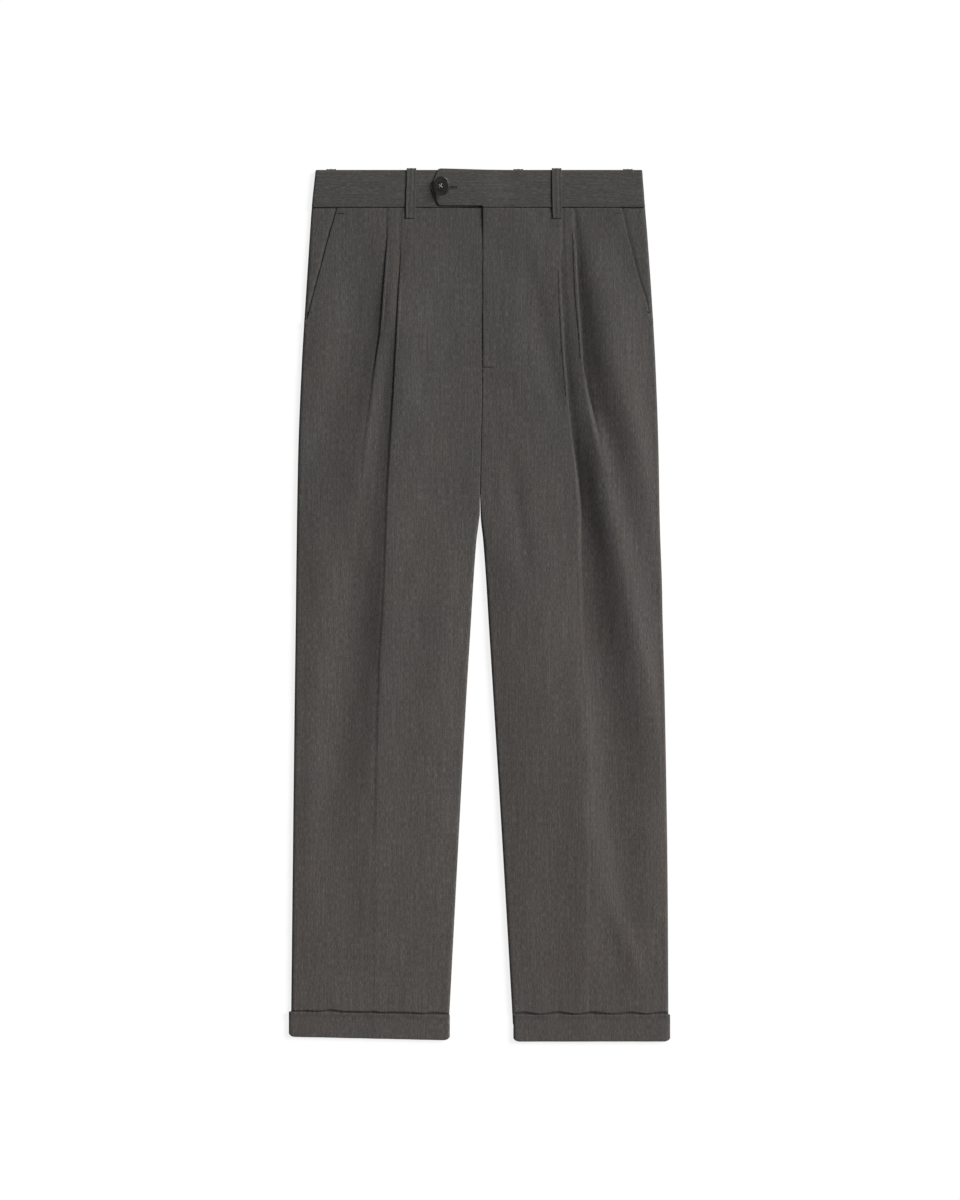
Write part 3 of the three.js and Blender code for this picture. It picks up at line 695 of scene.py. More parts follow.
def suiting_material():
    """Worsted suiting: grey melange yarns in a fine twill, a little browner towards the hems, and painted
    paler there as painted light.
    """
    name = "Grey suiting"
    if name in bpy.data.materials:
        return bpy.data.materials[name]
    cloth = bpy.context.scene.trouser_cloth
    material, tree, shader = new_material(name)
    grain = add_node(tree, "ShaderNodeUVMap", uv_map=GRAIN).outputs["UV"]
    melange = use_group(tree, melange_group(), Grain=grain)
    melange.inputs["Yarn"].default_value = opaque(cloth.yarn)
    melange.inputs["Dark yarn"].default_value = opaque(cloth.dark_yarn)
    melange.inputs["Light yarn"].default_value = opaque(cloth.light_yarn)
    place = add_node(tree, "ShaderNodeSeparateXYZ")
    tree.links.new(add_node(tree, "ShaderNodeTexCoord").outputs["Object"], place.inputs[0])
    # painted light: the cloth grows browner and is painted paler from the waist down to the hems
    tree.links.new(spread(tree, place.outputs["Y"], *BROWN_AND_PAINTED_LIGHT), melange.inputs["Brown and painted light"])
    twill = use_group(tree, twill_group(), Grain=grain)
    twill.inputs["Ribs a metre"].default_value = SUITING_RIBS
    height = math_node(tree, "ADD", math_node(tree, "MULTIPLY", melange.outputs["Height"], 0.8),
                       math_node(tree, "MULTIPLY", twill.outputs["Height"], 0.2))
    bump = add_node(tree, "ShaderNodeBump")
    bump.inputs["Distance"].default_value = cloth.nap
    bump.inputs["Strength"].default_value = 0.6
    tree.links.new(height, bump.inputs["Height"])
    tree.links.new(melange.outputs["Color"], shader.inputs["Base Color"])
    tree.links.new(melange.outputs["Roughness"], shader.inputs["Roughness"])
    tree.links.new(bump.outputs["Normal"], shader.inputs["Normal"])
    shader.inputs["Specular IOR Level"].default_value = 0.2
    shader.inputs["Sheen Weight"].default_value = 0.08
    shader.inputs["Sheen Roughness"].default_value = 0.5
    return material


def thread_material(name, colour):
    """Twisted sewing thread."""
    if name in bpy.data.materials:
        return bpy.data.materials[name]
    material, tree, shader = new_material(name)
    place = add_node(tree, "ShaderNodeTexCoord").outputs["Object"]
    twist = noise_value(tree, place, (2600, 2600, 2600))
    darker = tuple(0.6 * c for c in colour)
    tree.links.new(blend_colour(tree, spread(tree, twist, 0.35, 0.65), opaque(darker), opaque(colour)),
                   shader.inputs["Base Color"])
    bump = add_node(tree, "ShaderNodeBump")
    bump.inputs["Distance"].default_value = 0.1 * MM
    tree.links.new(twist, bump.inputs["Height"])
    tree.links.new(bump.outputs["Normal"], shader.inputs["Normal"])
    shader.inputs["Roughness"].default_value = 0.75
    return material


def zip_material():
    """Woven zip tape with its chain down the middle."""
    findings = bpy.context.scene.trouser_findings
    material, tree, shader = new_material("Zip tape")
    grain = add_node(tree, "ShaderNodeUVMap", uv_map=GRAIN).outputs["UV"]
    weave = use_group(tree, twill_group(), Grain=grain)
    weave.inputs["Ribs a metre"].default_value = ZIP_RIBS
    darker = tuple(0.7 * c for c in findings.zip_tape)
    tree.links.new(blend_colour(tree, weave.outputs["Height"], opaque(darker), opaque(findings.zip_tape)),
                   shader.inputs["Base Color"])
    bump = add_node(tree, "ShaderNodeBump")
    bump.inputs["Distance"].default_value = 0.1 * MM
    tree.links.new(weave.outputs["Height"], bump.inputs["Height"])
    tree.links.new(bump.outputs["Normal"], shader.inputs["Normal"])
    shader.inputs["Roughness"].default_value = 0.7
    return material


def button_material():
    """Dark polished horn with paler veins."""
    findings = bpy.context.scene.trouser_findings
    material, tree, shader = new_material("Dark horn")
    place = add_node(tree, "ShaderNodeTexCoord").outputs["Object"]
    vein = spread(tree, noise_value(tree, place, (140, 420, 260), detail=4, roughness=0.6), 0.50, 0.72)
    tree.links.new(blend_colour(tree, vein, opaque(findings.button), opaque(findings.button_vein)),
                   shader.inputs["Base Color"])
    wear = noise_value(tree, place, (900, 900, 900), detail=3)
    tree.links.new(math_node(tree, "MULTIPLY_ADD", wear, 0.25, 0.16), shader.inputs["Roughness"])
    bump = add_node(tree, "ShaderNodeBump")
    bump.inputs["Distance"].default_value = 0.03 * MM
    bump.inputs["Strength"].default_value = 0.4
    tree.links.new(wear, bump.inputs["Height"])
    tree.links.new(bump.outputs["Normal"], shader.inputs["Normal"])
    return material


def floor_material():
    """Plain white paper, lit a little from below so that shadows stay faint."""
    material, tree, shader = new_material("White paper")
    place = add_node(tree, "ShaderNodeTexCoord").outputs["Object"]
    fibre = noise_value(tree, place, (60, 60, 60))
    tree.links.new(blend_colour(tree, fibre, (0.128, 0.128, 0.128, 1), (0.135, 0.135, 0.135, 1)),
                   shader.inputs["Base Color"])
    shader.inputs["Roughness"].default_value = 1
    shader.inputs["Specular IOR Level"].default_value = 0
    shader.inputs["Emission Color"].default_value = (1, 1, 1, 1)
    shader.inputs["Emission Strength"].default_value = 0.83
    return material


# ---------------------------------------------------------------- fronts and backs

def back_lift(y):
    return LOOP_LIFT * ease(LIFT_START, 468, y)


def front_base(y):
    hips = mix(LEG_TOP, HIP_TOP, ease(300, 468, y))
    return mix(HEM_TOP, hips, ease(-480, -330, y))


def edge_top(y):
    return np.minimum(front_base(y), EDGE_TOP)


def facing_top(side, y, out):
    """The cloth outside a pocket swells up again a little way from the pocket's mouth."""
    beyond = np.asarray(out) - pocket_edge(side, y)
    return front_top(side, y, out) - 1.6 + 1.1 * ease(0.4, 4.5, beyond)


def seam_height(y):
    """Middle of the side seam, above the surface."""
    return (back_lift(y) + edge_top(y)) / 2


def fold_heights(folds, y, out):
    total = np.zeros_like(out)
    for rows in folds.values():
        line, height, inwards, outwards = along(rows, y)
        if abs(height) > 0.01:
            past = out - line
            total += height * np.exp(-(past / np.where(past < 0, inwards, outwards)) ** 2)
    return total


def trough_height(pleat, y, out):
    """How far the cloth outside a pleat's edge lies below the cloth inside it."""
    edge, step, _, width = along(pleat, y)
    past = np.clip((out - edge) / width, 0, 1)
    return np.where(out > edge, -step * (1 - past) ** 1.4, 0.0)


def fly_height(side, y, out):
    in_fly = ease(FLY_BOTTOM - 25, FLY_BOTTOM - 2, y)
    if side == "left":
        tack = math.exp(-((y - FLY_BOTTOM) / 1.1) ** 2) * ease(16, 13, out)
        return in_fly * (1 - ease(FLY_MOUND, FLY_MOUND + 18, out)) - 1.2 * tack
    return -0.25 * in_fly * (1 - ease(8, 26, out))


def front_top(side, y, out):
    """Top of a front panel without its folded edges, above the surface."""
    out = np.asarray(out, float)
    heights = front_base(y) + fold_heights(FRONT_FOLDS[side], y, out) + fly_height(side, y, out)
    for pleat in PLEATS[side].values():
        heights = heights + trough_height(pleat, y, out)
    thinner = (front_base(y) - edge_top(y)) * np.ones_like(out)
    at_seams = np.exp(-((outer_edge(side, y) - out) / 20) ** 2)
    at_seams = at_seams + np.exp(-((out - inner_edge(side, y)) / 20) ** 2) * ease(125, 40, y)
    heights = heights - thinner * np.minimum(at_seams, 1)
    lowest = LOWEST_FRONT + back_lift(y)
    return lowest + np.logaddexp(0, (heights - lowest) * 2.5) / 2.5


def fold_section(step, tuck):
    """Across and down from a pleat's edge: the cloth rolls over it and back under, or eases down."""
    layer = 1.15
    rolled = np.array([
        (-5, 0), (-2.6, 0), (-0.8, 0.04), (-0.2, 0.22), (0, 0.55), (-0.2, 0.9), (-0.8, layer - 0.04),
        (-tuck, layer), (-tuck - 0.2, (layer + step) / 2), (-tuck, step), (-0.3, step),
        (2.4, 0.94 * step), (6, step),
    ])
    eased = np.array([
        (-5, 0), (-2.6, 0), (-1.0, 0.03), (-0.25, 0.10), (0.4, 0.24), (1.0, 0.42), (1.6, 0.60),
        (2.2, 0.76), (2.8, 0.89), (3.5, 0.97), (4.3, 1), (5.2, 1), (6.5, 1),
    ])
    eased[:, 1] *= step
    return mix(eased, rolled, ease(0.2, 2.2, tuck))


def turned_edge(edge, inward, top, rim, turn, dip, run, reach=SEAM_REACH):
    """Points from an edge's rim to the flat: turned down to a seam, or a folded edge with a small dip."""
    points = []
    for share in np.linspace(0, 1, 7):
        angle = share * math.pi / 2
        turned = (reach * (1 - math.cos(angle)), top - (top - rim) * (1 - math.sin(angle)))
        folded = (run * share ** 1.3, top - dip * (1 - share) ** 2.4)
        across, height = (mix(f, t, turn) for f, t in zip(folded, turned))
        points.append((edge + inward * across, height))
    return points


def centre_seam_reach(y):
    """The turn at the inseam, which tightens to that of the seam up the middle."""
    return mix(SEAM_REACH, 1.6, ease(70, 125, y))


def front_outer(side, y):
    edge = outer_edge(side, y)
    return min(edge, pocket_edge(side, y)) if y > POCKET_BOTTOM else edge


def front_inner(side, y):
    """The inseam, the seam that runs on up to the fly, or the edge of the fly."""
    seam = mix(0.6, 3.4, ease(107, FLY_BOTTOM, y)) * ease(90, 112, y)
    if side == "left":
        return FLY_EDGE if y > FLY_BOTTOM else max(inner_edge(side, y), seam + 0.12)
    centre = mix(max(inner_edge(side, y), 0.12), 0.12 - seam, ease(100, 112, y))
    return mix(centre, -FLY_UNDER, ease(FLY_BOTTOM - 12, FLY_BOTTOM - 3, y))


def plain_span(side, y, start, end, count):
    """Points across an open stretch of a front panel."""
    outs = np.linspace(start, end, count + 2)[1:-1]
    return list(zip(outs, front_top(side, y, outs)))


def pleat_fold(side, y, edge, step, tuck):
    """Points across a pleat's folded edge; one that has opened out follows the cloth beside it."""
    inside = float(front_top(side, y, edge - 0.01))
    points = []
    for across, down in fold_section(step, tuck):
        open_cloth = float(front_top(side, y, edge + across))
        if across < -4:
            height = open_cloth
        else:
            height = inside if across < -2 else inside - down
        if across > 2.9:
            height = mix(height, open_cloth, ease(2.9, 6, across))
        height = mix(open_cloth, height, ease(0, 0.5, step))
        points.append((edge + across, max(height, LOWEST_FRONT + back_lift(y) - 0.2)))
    return points


def front_row(side, y):
    """Points across a front panel, as out and height above the surface."""
    start, end = front_inner(side, y), front_outer(side, y)
    rim = seam_height(y)
    inner_turn = 1 - ease(100, 128, y)
    outer_turn = 1 - ease(POCKET_BOTTOM - 8, POCKET_BOTTOM, y)
    run = mix(1.8, 1.1, ease(FLY_BOTTOM - 2, FLY_BOTTOM + 2, y))
    seam_reach = centre_seam_reach(y)
    first, second = PLEATS[side]["inner"], PLEATS[side]["outer"]
    edge_a, step_a, tuck_a, _ = along(first, y)
    edge_b, step_b, tuck_b, _ = along(second, y)
    inner_reach = mix(run, seam_reach, inner_turn)
    outer_reach = mix(1.3, SEAM_REACH, outer_turn)

    flat_start, flat_end = start + inner_reach, end - outer_reach
    inner_top = float(front_top(side, y, flat_start))
    outer_top = float(front_top(side, y, flat_end))
    return [
        *turned_edge(start, 1, inner_top, rim - 0.3, inner_turn, 0.9, run, seam_reach),
        *plain_span(side, y, flat_start, edge_a - FOLD_BEFORE, 32),
        *pleat_fold(side, y, edge_a, step_a, tuck_a),
        *plain_span(side, y, edge_a + FOLD_BEYOND, edge_b - FOLD_BEFORE, 4),
        *pleat_fold(side, y, edge_b, step_b, tuck_b),
        *plain_span(side, y, edge_b + FOLD_BEYOND, flat_end, 26),
        *turned_edge(end, -1, outer_top, rim - 0.3, outer_turn, 1.2, 1.1)[::-1],
    ]


def hem_slope(side, x, y):
    cuff = CUFF[side]
    share = (abs(x) - cuff["inner"]) / (cuff["outer"] - cuff["inner"])
    return cuff["rise"] * share * (1 - ease(cuff["top"], cuff["top"] + 300, y))


def into_waistband(y):
    """How far a panel's top has dipped to run on under the waistband, from 0 to 1."""
    return ease(BAND_BOTTOM - 1.5, BAND_BOTTOM + 1.2, y)


def into_cuff(side, x, y):
    """How far a front has dipped to run on inside its turn-up, from 0 to 1; the line of it wanders."""
    top = CUFF[side]["top"] + 0.7 + 2.4 * ripple(x, 0, 21, 6.1)
    return 1 - ease(top - 0.6, top + 2.6, y)


def tab_rise(x):
    """How much higher the left half of the waistband lies where it comes off the tab."""
    return TAB_LIFT * (1 - ease(*TAB_RAMP, x))


def front_rows(side):
    body = np.linspace(BAND_BOTTOM - 3.5, CUFF[side]["top"] + 7, 276)
    near_band = BAND_BOTTOM + np.array([BAND_TUCK, 1.2, 0.2, -0.6, -1.4, -2.4])
    fly = FLY_BOTTOM + np.array([3.2, 2, 1, 0.2, -0.6, -1.6, -2.8])
    hem = CUFF[side]["top"] + np.array([5.4, 4.4, 3.5, 2.7, 1.9, 1.1, 0.3, -0.6, -1.6, -4, -HEM_TUCK])
    return sorted([*near_band, *body, *fly, *hem], reverse=True)


def unevenness(side, x, y, seed):
    """How the cloth of a front waves, and puckers beside its seams."""
    uneven = 0.55 * ripple(x, y, 46, seed) + 0.22 * ripple(x, y * 0.6, 15, seed + 4)
    pucker = 0.5 * ripple(x * 0.3, y, 5.5, seed + 9)
    out = SIDES[side] * x
    to_edge = min(out - front_inner(side, y), front_outer(side, y) - out)
    return uneven + pucker * math.exp(-(to_edge / 5) ** 2)


def make_front(side):
    sign = SIDES[side]
    seed = 3.1 if side == "left" else 7.7
    points, grain = [], []
    for y in front_rows(side):
        band = into_waistband(y)
        points.append([])
        grain.append([])
        for out, z in front_row(side, y):
            x = sign * out
            height = z + unevenness(side, x, y, seed) * (1 - 0.6 * band)
            under_band = UNDER_BAND
            if side == "left":
                height += 0.4 * tab_rise(x) * ease(430, 474, y)
                under_band += tab_rise(x)
            height = mix(height, min(height, under_band), band)
            height = mix(height, min(height, CUFF_HEIGHT - CUFF_WALL - 1), into_cuff(side, x, y))
            points[-1].append((x, y + hem_slope(side, x, y), height))
            grain[-1].append((x + sign * max(0.0, front_base(y) - z) * 0.6, y))
    piece = surface(f"front_{side}", points, grain)
    thicken(piece, bpy.context.scene.trouser_cloth.thickness)
    return piece


def back_row(side, y):
    """Points across a back panel, as out and height above the surface."""
    start = max(inner_edge(side, y), 0.15)
    end = outer_edge(side, y)
    lift = back_lift(y)
    rim = seam_height(y) + 0.2
    inner_turn = 1 - ease(100, 128, y)
    crease = along(BACK_CREASE, y)[0]

    def lifted(outs):
        """The cloth stands up on both sides of the pressed crease."""
        heights = lift + fold_heights(BACK_FOLDS[side], y, outs)
        beside = np.abs(outs - crease)
        return heights + 0.35 * np.exp(-((beside - 4) / 3) ** 2) * ease(430, 360, y)

    inner = [(out, -z)
             for out, z in turned_edge(start, 1, -lift, -rim, inner_turn, 0.5, 2, centre_seam_reach(y))]
    outer = [(out, -z) for out, z in turned_edge(end, -1, -lift, -rim, 1, 0, 2)]
    middle = np.concatenate([
        np.linspace(start + 5, crease - 10, 18), crease + np.array([-7, -4, -2, 0, 2, 4, 7]),
        np.linspace(crease + 10, end - 5.5, 18),
    ])
    return [*inner, *zip(middle, lifted(middle)), *outer[::-1]]


def make_back(side):
    sign = SIDES[side]
    cuff = CUFF[side]
    rows = np.concatenate([
        BAND_BOTTOM + np.array([-0.3, -3]), np.linspace(BAND_BOTTOM - 8, cuff["top"] + 16, 130),
        cuff["top"] + np.array([12, 8, 4, 1, -2, -HEM_TUCK]),
    ])
    inside_cuff = CUFF_WALL + 0.4
    points, grain = [], []
    for y in rows:
        hem = 1 - ease(cuff["top"], cuff["top"] + 14, y)
        points.append([])
        grain.append([])
        for out, z in back_row(side, y):
            x = sign * out
            low = z + 0.12 * abs(ripple(x, y, 30, 2.2)) * (1 - hem)
            height = mix(low, max(low, inside_cuff), hem)
            points[-1].append((x, y + hem_slope(side, x, y), height))
            grain[-1].append((x + sign * max(0.0, z - back_lift(y)) * 0.6, y))
    piece = surface(f"back_{side}", points, grain, up=False)
    thicken(piece, bpy.context.scene.trouser_cloth.thickness)
    return piece


def make_facing(side):
    """The panel outside a slanted pocket; it runs on under the front."""
    sign = SIDES[side]
    rows = [BAND_BOTTOM + BAND_TUCK, BAND_BOTTOM, *np.linspace(BAND_BOTTOM - 3, POCKET_FACING_BOTTOM, 44)]
    points, grain = [], []
    for y in rows:
        end = outer_edge(side, y) - mix(0.9, 0.1, ease(POCKET_BOTTOM, POCKET_BOTTOM + 5, y))
        start = min(pocket_edge(side, y) - FACING_TUCK, end - FACING_TUCK)
        mouth = min(start + FACING_TUCK, end - 5)
        flat_end = end - SEAM_REACH
        outs = np.concatenate([np.linspace(start, mouth, 4), np.linspace(mouth + 1, flat_end, 10)])
        side_top = float(facing_top(side, y, flat_end))
        rolled = turned_edge(end, -1, side_top, seam_height(y) - 0.3, 1, 0, 1)[::-1]
        band = into_waistband(y)
        points.append([])
        grain.append([])
        for out, z in [*zip(outs, facing_top(side, y, outs)), *rolled[1:]]:
            height = float(z) + 0.25 * ripple(out, y, 14, 5.5)
            points[-1].append((sign * out, y, mix(height, min(height, UNDER_BAND), band)))
            grain[-1].append((sign * out + 4, y + 3))
    piece = surface(f"pocket_facing_{side}", points, grain)
    thicken(piece, bpy.context.scene.trouser_cloth.thickness)
    return piece


# ---------------------------------------------------------------- swept bands

def band_section(low, high, thickness):
    """A flat strap cut across, as along its width and up from its middle, with rounded edges."""
    r = thickness / 2
    turn = [math.radians(a) for a in (90, 60, 30, 0, -30, -60, -90)]
    face = np.linspace(low + r, high - r, 13)
    top = [(high - r + r * math.cos(a), r * math.sin(a)) for a in turn]
    bottom = [(low + r - r * math.cos(a), -r * math.sin(a)) for a in turn]
    outer = [(v, r) for v in face[1:-1]]
    inner = [(v, -r) for v in face[1:-1][::-1]]
    return outer + top + inner + bottom


def band_stations(side):
    """Places along a waistband half, from the centre front round to the centre back."""
    stations = []
    if side == "left":
        tab = np.array(TAB)
        xs = np.unique(np.concatenate([tab[:, 0], np.arange(-44, TAB_RAMP[1], 3.0)]))
        for x in xs:
            low, high, thick = (np.interp(x, tab[:, 0], tab[:, i]) for i in (1, 2, 3))
            on_top = 1 - ease(*TAB_RAMP, x)
            lift = tab_rise(x)
            thick *= mix(1, TAB_THICKNESS / BAND_THICKNESS, on_top)
            stations.append((x, BAND_FRONT_MID + lift, low, high, thick, None))
    else:
        stations += [(-0.2, BAND_FRONT_MID, BAND_BOTTOM, WAIST_TOP, 1, None)]
    for out in np.arange(TAB_RAMP[1] if side == "left" else 20, 187, 3.4) + 3:
        stations.append((out, BAND_FRONT_MID, BAND_BOTTOM, WAIST_TOP, 1, None))
    radius = (BAND_FRONT_MID - BAND_BACK_MID) / 2
    for angle in range(90, -91, -15):
        turn = math.radians(angle)
        stations.append((0, BAND_BACK_MID + radius * (1 + math.sin(turn)), BAND_BOTTOM, WAIST_TOP, 1,
                         radius * (1 - math.cos(turn))))
    for out in [*np.arange(189, 4, -6.0), 0.15]:
        stations.append((out, BAND_BACK_MID, BAND_BOTTOM, WAIST_TOP, 1, None))
    return stations


def unit_ahead(path):
    """The direction of a path at each of its points."""
    ahead = np.gradient(path, axis=0)
    return ahead / np.linalg.norm(ahead, axis=1)[:, None]


def make_waistband(side):
    sign = SIDES[side]
    stations = band_stations(side)
    edge = BAND_THICKNESS / 2
    path = np.array([
        (out if inset is None else outer_edge(side, (low + high) / 2) - edge - inset, z)
        for out, z, low, high, _, inset in stations
    ])
    ahead = unit_ahead(path)
    lengths = np.concatenate([[0], np.cumsum(np.linalg.norm(np.diff(path, axis=0), axis=1))])
    points, grain = [], []
    for (across, z), (tx, tz), run, (_, _, low, high, thick, inset) in zip(path, ahead, lengths, stations):
        points.append([])
        grain.append([])
        for y, up in band_section(low, high, BAND_THICKNESS * thick):
            slope = outer_edge(side, y) - outer_edge(side, (low + high) / 2) if inset is not None else 0
            x = sign * (across + slope)
            crown = 0.22 * ripple(x, y, 24, 8.8) + 0.16 * ripple(x, y * 0.4, 7, 1.8)
            to_seam = math.exp(-((y - low) / 4) ** 2)
            push = (crown + 0.35 * to_seam * ripple(x, 0, 5, 6.6)) if up > 0 else 0
            offset = up + push
            points[-1].append((x - sign * tz * offset, y, z + tx * offset))
            grain[-1].append((y, run))
    return surface(f"waistband_{side}", points, grain, ring=True, caps=True)


def make_loop(node, x, slant, below):
    """A strap sewn on the waistband, its top end turned down over the band's edge."""
    half = LOOP_THICKNESS / 2
    edge = WAIST_TOP + CLOTH_SPACE + half
    if below:
        low = half + 0.22
        levels = [(edge, BAND_BACK_MID), (edge, 1.8), (edge - 0.3, 1.15), (edge - 1.1, low),
                  *((y, low) for y in np.linspace(515, LOOP_BOTTOM + 1, 14)), (LOOP_BOTTOM, low)]
    else:
        top = BAND_FRONT_MID + BAND_THICKNESS / 2 + CLOTH_SPACE + half
        foot = HIP_TOP + CLOTH_SPACE + half
        levels = [(edge + 0.4, BAND_FRONT_MID), (edge + 0.5, top - 0.8), (edge + 0.1, top - 0.1),
                  (edge - 0.9, top + 0.25)]
        for y in np.linspace(518, LOOP_BOTTOM + 2, 18):
            bow = 0.25 * math.sin(math.pi * ease(468, 522, y))
            levels.append((y, mix(foot, top, ease(468, 477, y)) + bow))
        levels += [(LOOP_BOTTOM + 0.8, foot + 0.2), (LOOP_BOTTOM, foot)]
    path = np.array(levels)
    points, grain = [], []
    for i, ((y, z), (ty, tz)) in enumerate(zip(path, unit_ahead(path))):
        foot_end = ease(LOOP_BOTTOM + 5, LOOP_BOTTOM + 1.5, y)
        thick = LOOP_THICKNESS * (1 if below else 1 + 0.9 * foot_end) * (0.6 if i == len(path) - 1 else 1)
        normal = np.array((-tz, ty)) * (1 if below else -1)
        points.append([])
        grain.append([])
        for v, up in band_section(-LOOP_WIDTH / 2, LOOP_WIDTH / 2, thick):
            ridge = 0.16 * math.cos(v * math.pi / 2.7) if up > 0 else 0
            wobble = 0.5 * ripple(v * 0.1, y, 11, x)
            leant = x + v + slant * (y - LOOP_CENTRE) + wobble
            points[-1].append((leant, y + normal[0] * (up + ridge), z + normal[1] * (up + ridge)))
            grain[-1].append((x + v, y + 1.7))
    return surface(node, points, grain, ring=True, caps=True)


def make_cuff(side):
    """A turn-up: a flattened tube round the end of the leg, its upper edge a little off the cloth."""
    sign = SIDES[side]
    cuff = CUFF[side]
    radius = (CUFF_HEIGHT - CUFF_WALL) / 2
    start, end = cuff["inner"] + CUFF_WALL / 2, cuff["outer"] - CUFF_WALL / 2
    crease = cuff["crease"]
    ring = []
    for out in sorted([*np.arange(start + radius, end - radius, 3.2), crease]):
        ridge = 0.7 * math.exp(-((out - crease) / 9) ** 2)
        ring.append((out, CUFF_HEIGHT - CUFF_WALL / 2 + ridge, 0, 1))
    for angle in range(75, -90, -15):
        turn = math.radians(angle)
        ring.append((end - radius * (1 - math.cos(turn)), CUFF_HEIGHT / 2 + radius * math.sin(turn),
                     math.cos(turn), math.sin(turn)))
    for out in np.arange(end - radius, start + radius, -6.4):
        ring.append((out, CUFF_WALL / 2, 0, -1))
    for angle in range(-90, 90, 15):
        turn = math.radians(angle)
        ring.append((start + radius * (1 - math.cos(turn)), CUFF_HEIGHT / 2 + radius * math.sin(turn),
                     -math.cos(turn), math.sin(turn)))
    half = CUFF_WALL / 2
    points, grain = [], []
    for out, z, nx, nz in ring:
        to_side = max(0.0, min(out - cuff["inner"], cuff["outer"] - out))
        corner = CUFF_CORNER * (1 - math.sqrt(1 - (1 - min(1, to_side / CUFF_CORNER)) ** 2))
        wave = 0.5 * ripple(out, 0, 22, sign * 3.3)
        low, high = cuff["bottom"] + corner + 0.4 * wave, cuff["top"] + wave
        points.append([])
        grain.append([])
        for y, up in band_section(low, high, CUFF_WALL):
            x = sign * (out + nx * up)
            front = max(0.0, nz)
            off = front * ease(high - 7, high, y) * (1.3 + 1.5 * ripple(out, 0, 17, 5.1))
            sag = front * 0.35 * ripple(x, y, 16, 4.1)
            points[-1].append((x, y + cuff_slope(cuff, out), max(z + nz * up + off + sag, 0.0)))
            grain[-1].append((x + sign * (1 - abs(nz)) * 3, y + 2))
    return surface(f"cuff_{side}", closed_ring(points), closed_ring(grain), ring=True)


def cuff_slope(cuff, out):
    return cuff["rise"] * (out - cuff["inner"]) / (cuff["outer"] - cuff["inner"])


def closed_ring(rows):
    """Repeats the first row at the end, so that a band meets itself."""
    return rows + [rows[0]]


def face_outwards(piece, merge=False):
    """Turns a closed shape's faces outwards, after merging the doubles where a band meets itself."""
    only(piece)
    bpy.ops.object.mode_set(mode="EDIT")
    bpy.ops.mesh.select_all(action="SELECT")
    if merge:
        bpy.ops.mesh.remove_doubles(threshold=0.00001)
    bpy.ops.mesh.normals_make_consistent(inside=False)
    bpy.ops.object.mode_set(mode="OBJECT")


# ---------------------------------------------------------------- thread and button

def thread_mesh(name, paths, radius):
    """One mesh of many short threads, each a round tube with closed ends along its points."""
    vertices, polygons = [], []
    around = 6
    for path in paths:
        path = np.asarray(path, float)
        start = len(vertices)
        for i, (point, tangent) in enumerate(zip(path, unit_ahead(path))):
            across = np.cross(tangent, (0.31, 0.17, 0.93) if abs(tangent[2]) < 0.9 else (1, 0.2, 0))
            across /= np.linalg.norm(across)
            upright = np.cross(across, tangent)
            size = radius * (0.55 if i in (0, len(path) - 1) else 1)
            for k in range(around):
                turn = 2 * math.pi * k / around
                round_it = math.cos(turn) * across + math.sin(turn) * upright
                vertices.append(tuple((point + size * round_it) * MM))
        for i in range(len(path) - 1):
            for k in range(around):
                a, b = start + i * around + k, start + i * around + (k + 1) % around
                polygons.append((a, b, b + around, a + around))
        polygons.append(tuple(start + k for k in range(around))[::-1])
        polygons.append(tuple(start + (len(path) - 1) * around + k for k in range(around)))
    mesh = bpy.data.meshes.new(name)
    mesh.from_pydata(vertices, [], polygons)
    mesh.update()
    mesh.shade_smooth()
    piece = put_in_scene(name, mesh)
    face_outwards(piece)
    return piece


def bar_tack(side, x, y, width, length):
    """Close stitches side by side."""
    paths = []
    count = int(width / STITCH_SPACING)
    for i in range(count):
        aside = width * ((i + 0.5) / count - 0.5)
        place = x + aside + 0.12 * ripple(aside, y, 0.7, 2)
        ground = float(front_top(side, y, abs(place)))
        paths.append([(place, y + length * (t - 0.5), ground + 0.26 * math.sin(math.pi * t) - 0.05)
                      for t in (0, 0.2, 0.5, 0.8, 1)])
    return paths


def buttonhole_stitches_and_painted_slit_shade():
    """Purled stitches round the slit, with an eyelet at its right end; three cords of dark thread lie along
    the slit itself, as painted shade for its opening.
    """
    left, right, y = -37.5, -28.5, 501.6
    z = BAND_FRONT_MID + TAB_LIFT + TAB_THICKNESS / 2
    # painted shade: three dark cords along the slit stand in for the shadow of its opening
    paths = [[(x, y + 0.25 * way, z + 0.12) for x in np.arange(left - 1, right + 1, 1.0)]
             for way in (-1, 0, 1)]
    for x in np.arange(left, right, 0.5):
        for way in (1, -1):
            paths.append([(x, y + way * (0.35 + t * 1.1), z + 0.1 + 0.22 * math.sin(math.pi * t))
                          for t in (0, 0.3, 0.7, 1)])
    eye = 1.1
    for k in range(14):
        turn = 2 * math.pi * k / 14
        cx, cy = math.cos(turn), math.sin(turn)
        if cx < -0.8:
            continue
        paths.append([(right + 0.8 + cx * (0.5 + t * eye), y + cy * (0.5 + t * eye),
                       z + 0.12 + 0.24 * math.sin(math.pi * t)) for t in (0, 0.3, 0.7, 1)])
    return paths


def button_middle():
    return (BUTTON_LOW + BUTTON_HIGH) / 2


def set_button(piece):
    """Tips a piece made about the button's own middle on to its place, and applies that."""
    piece.rotation_euler = (0, -BUTTON_TILT, BUTTON_LEAN)
    piece.location = button_middle() * MM
    only(piece)
    bpy.ops.object.transform_apply(location=True, rotation=True, scale=True)


def select_faces(mesh, test):
    for polygon in mesh.polygons:
        polygon.select = bool(test(polygon))


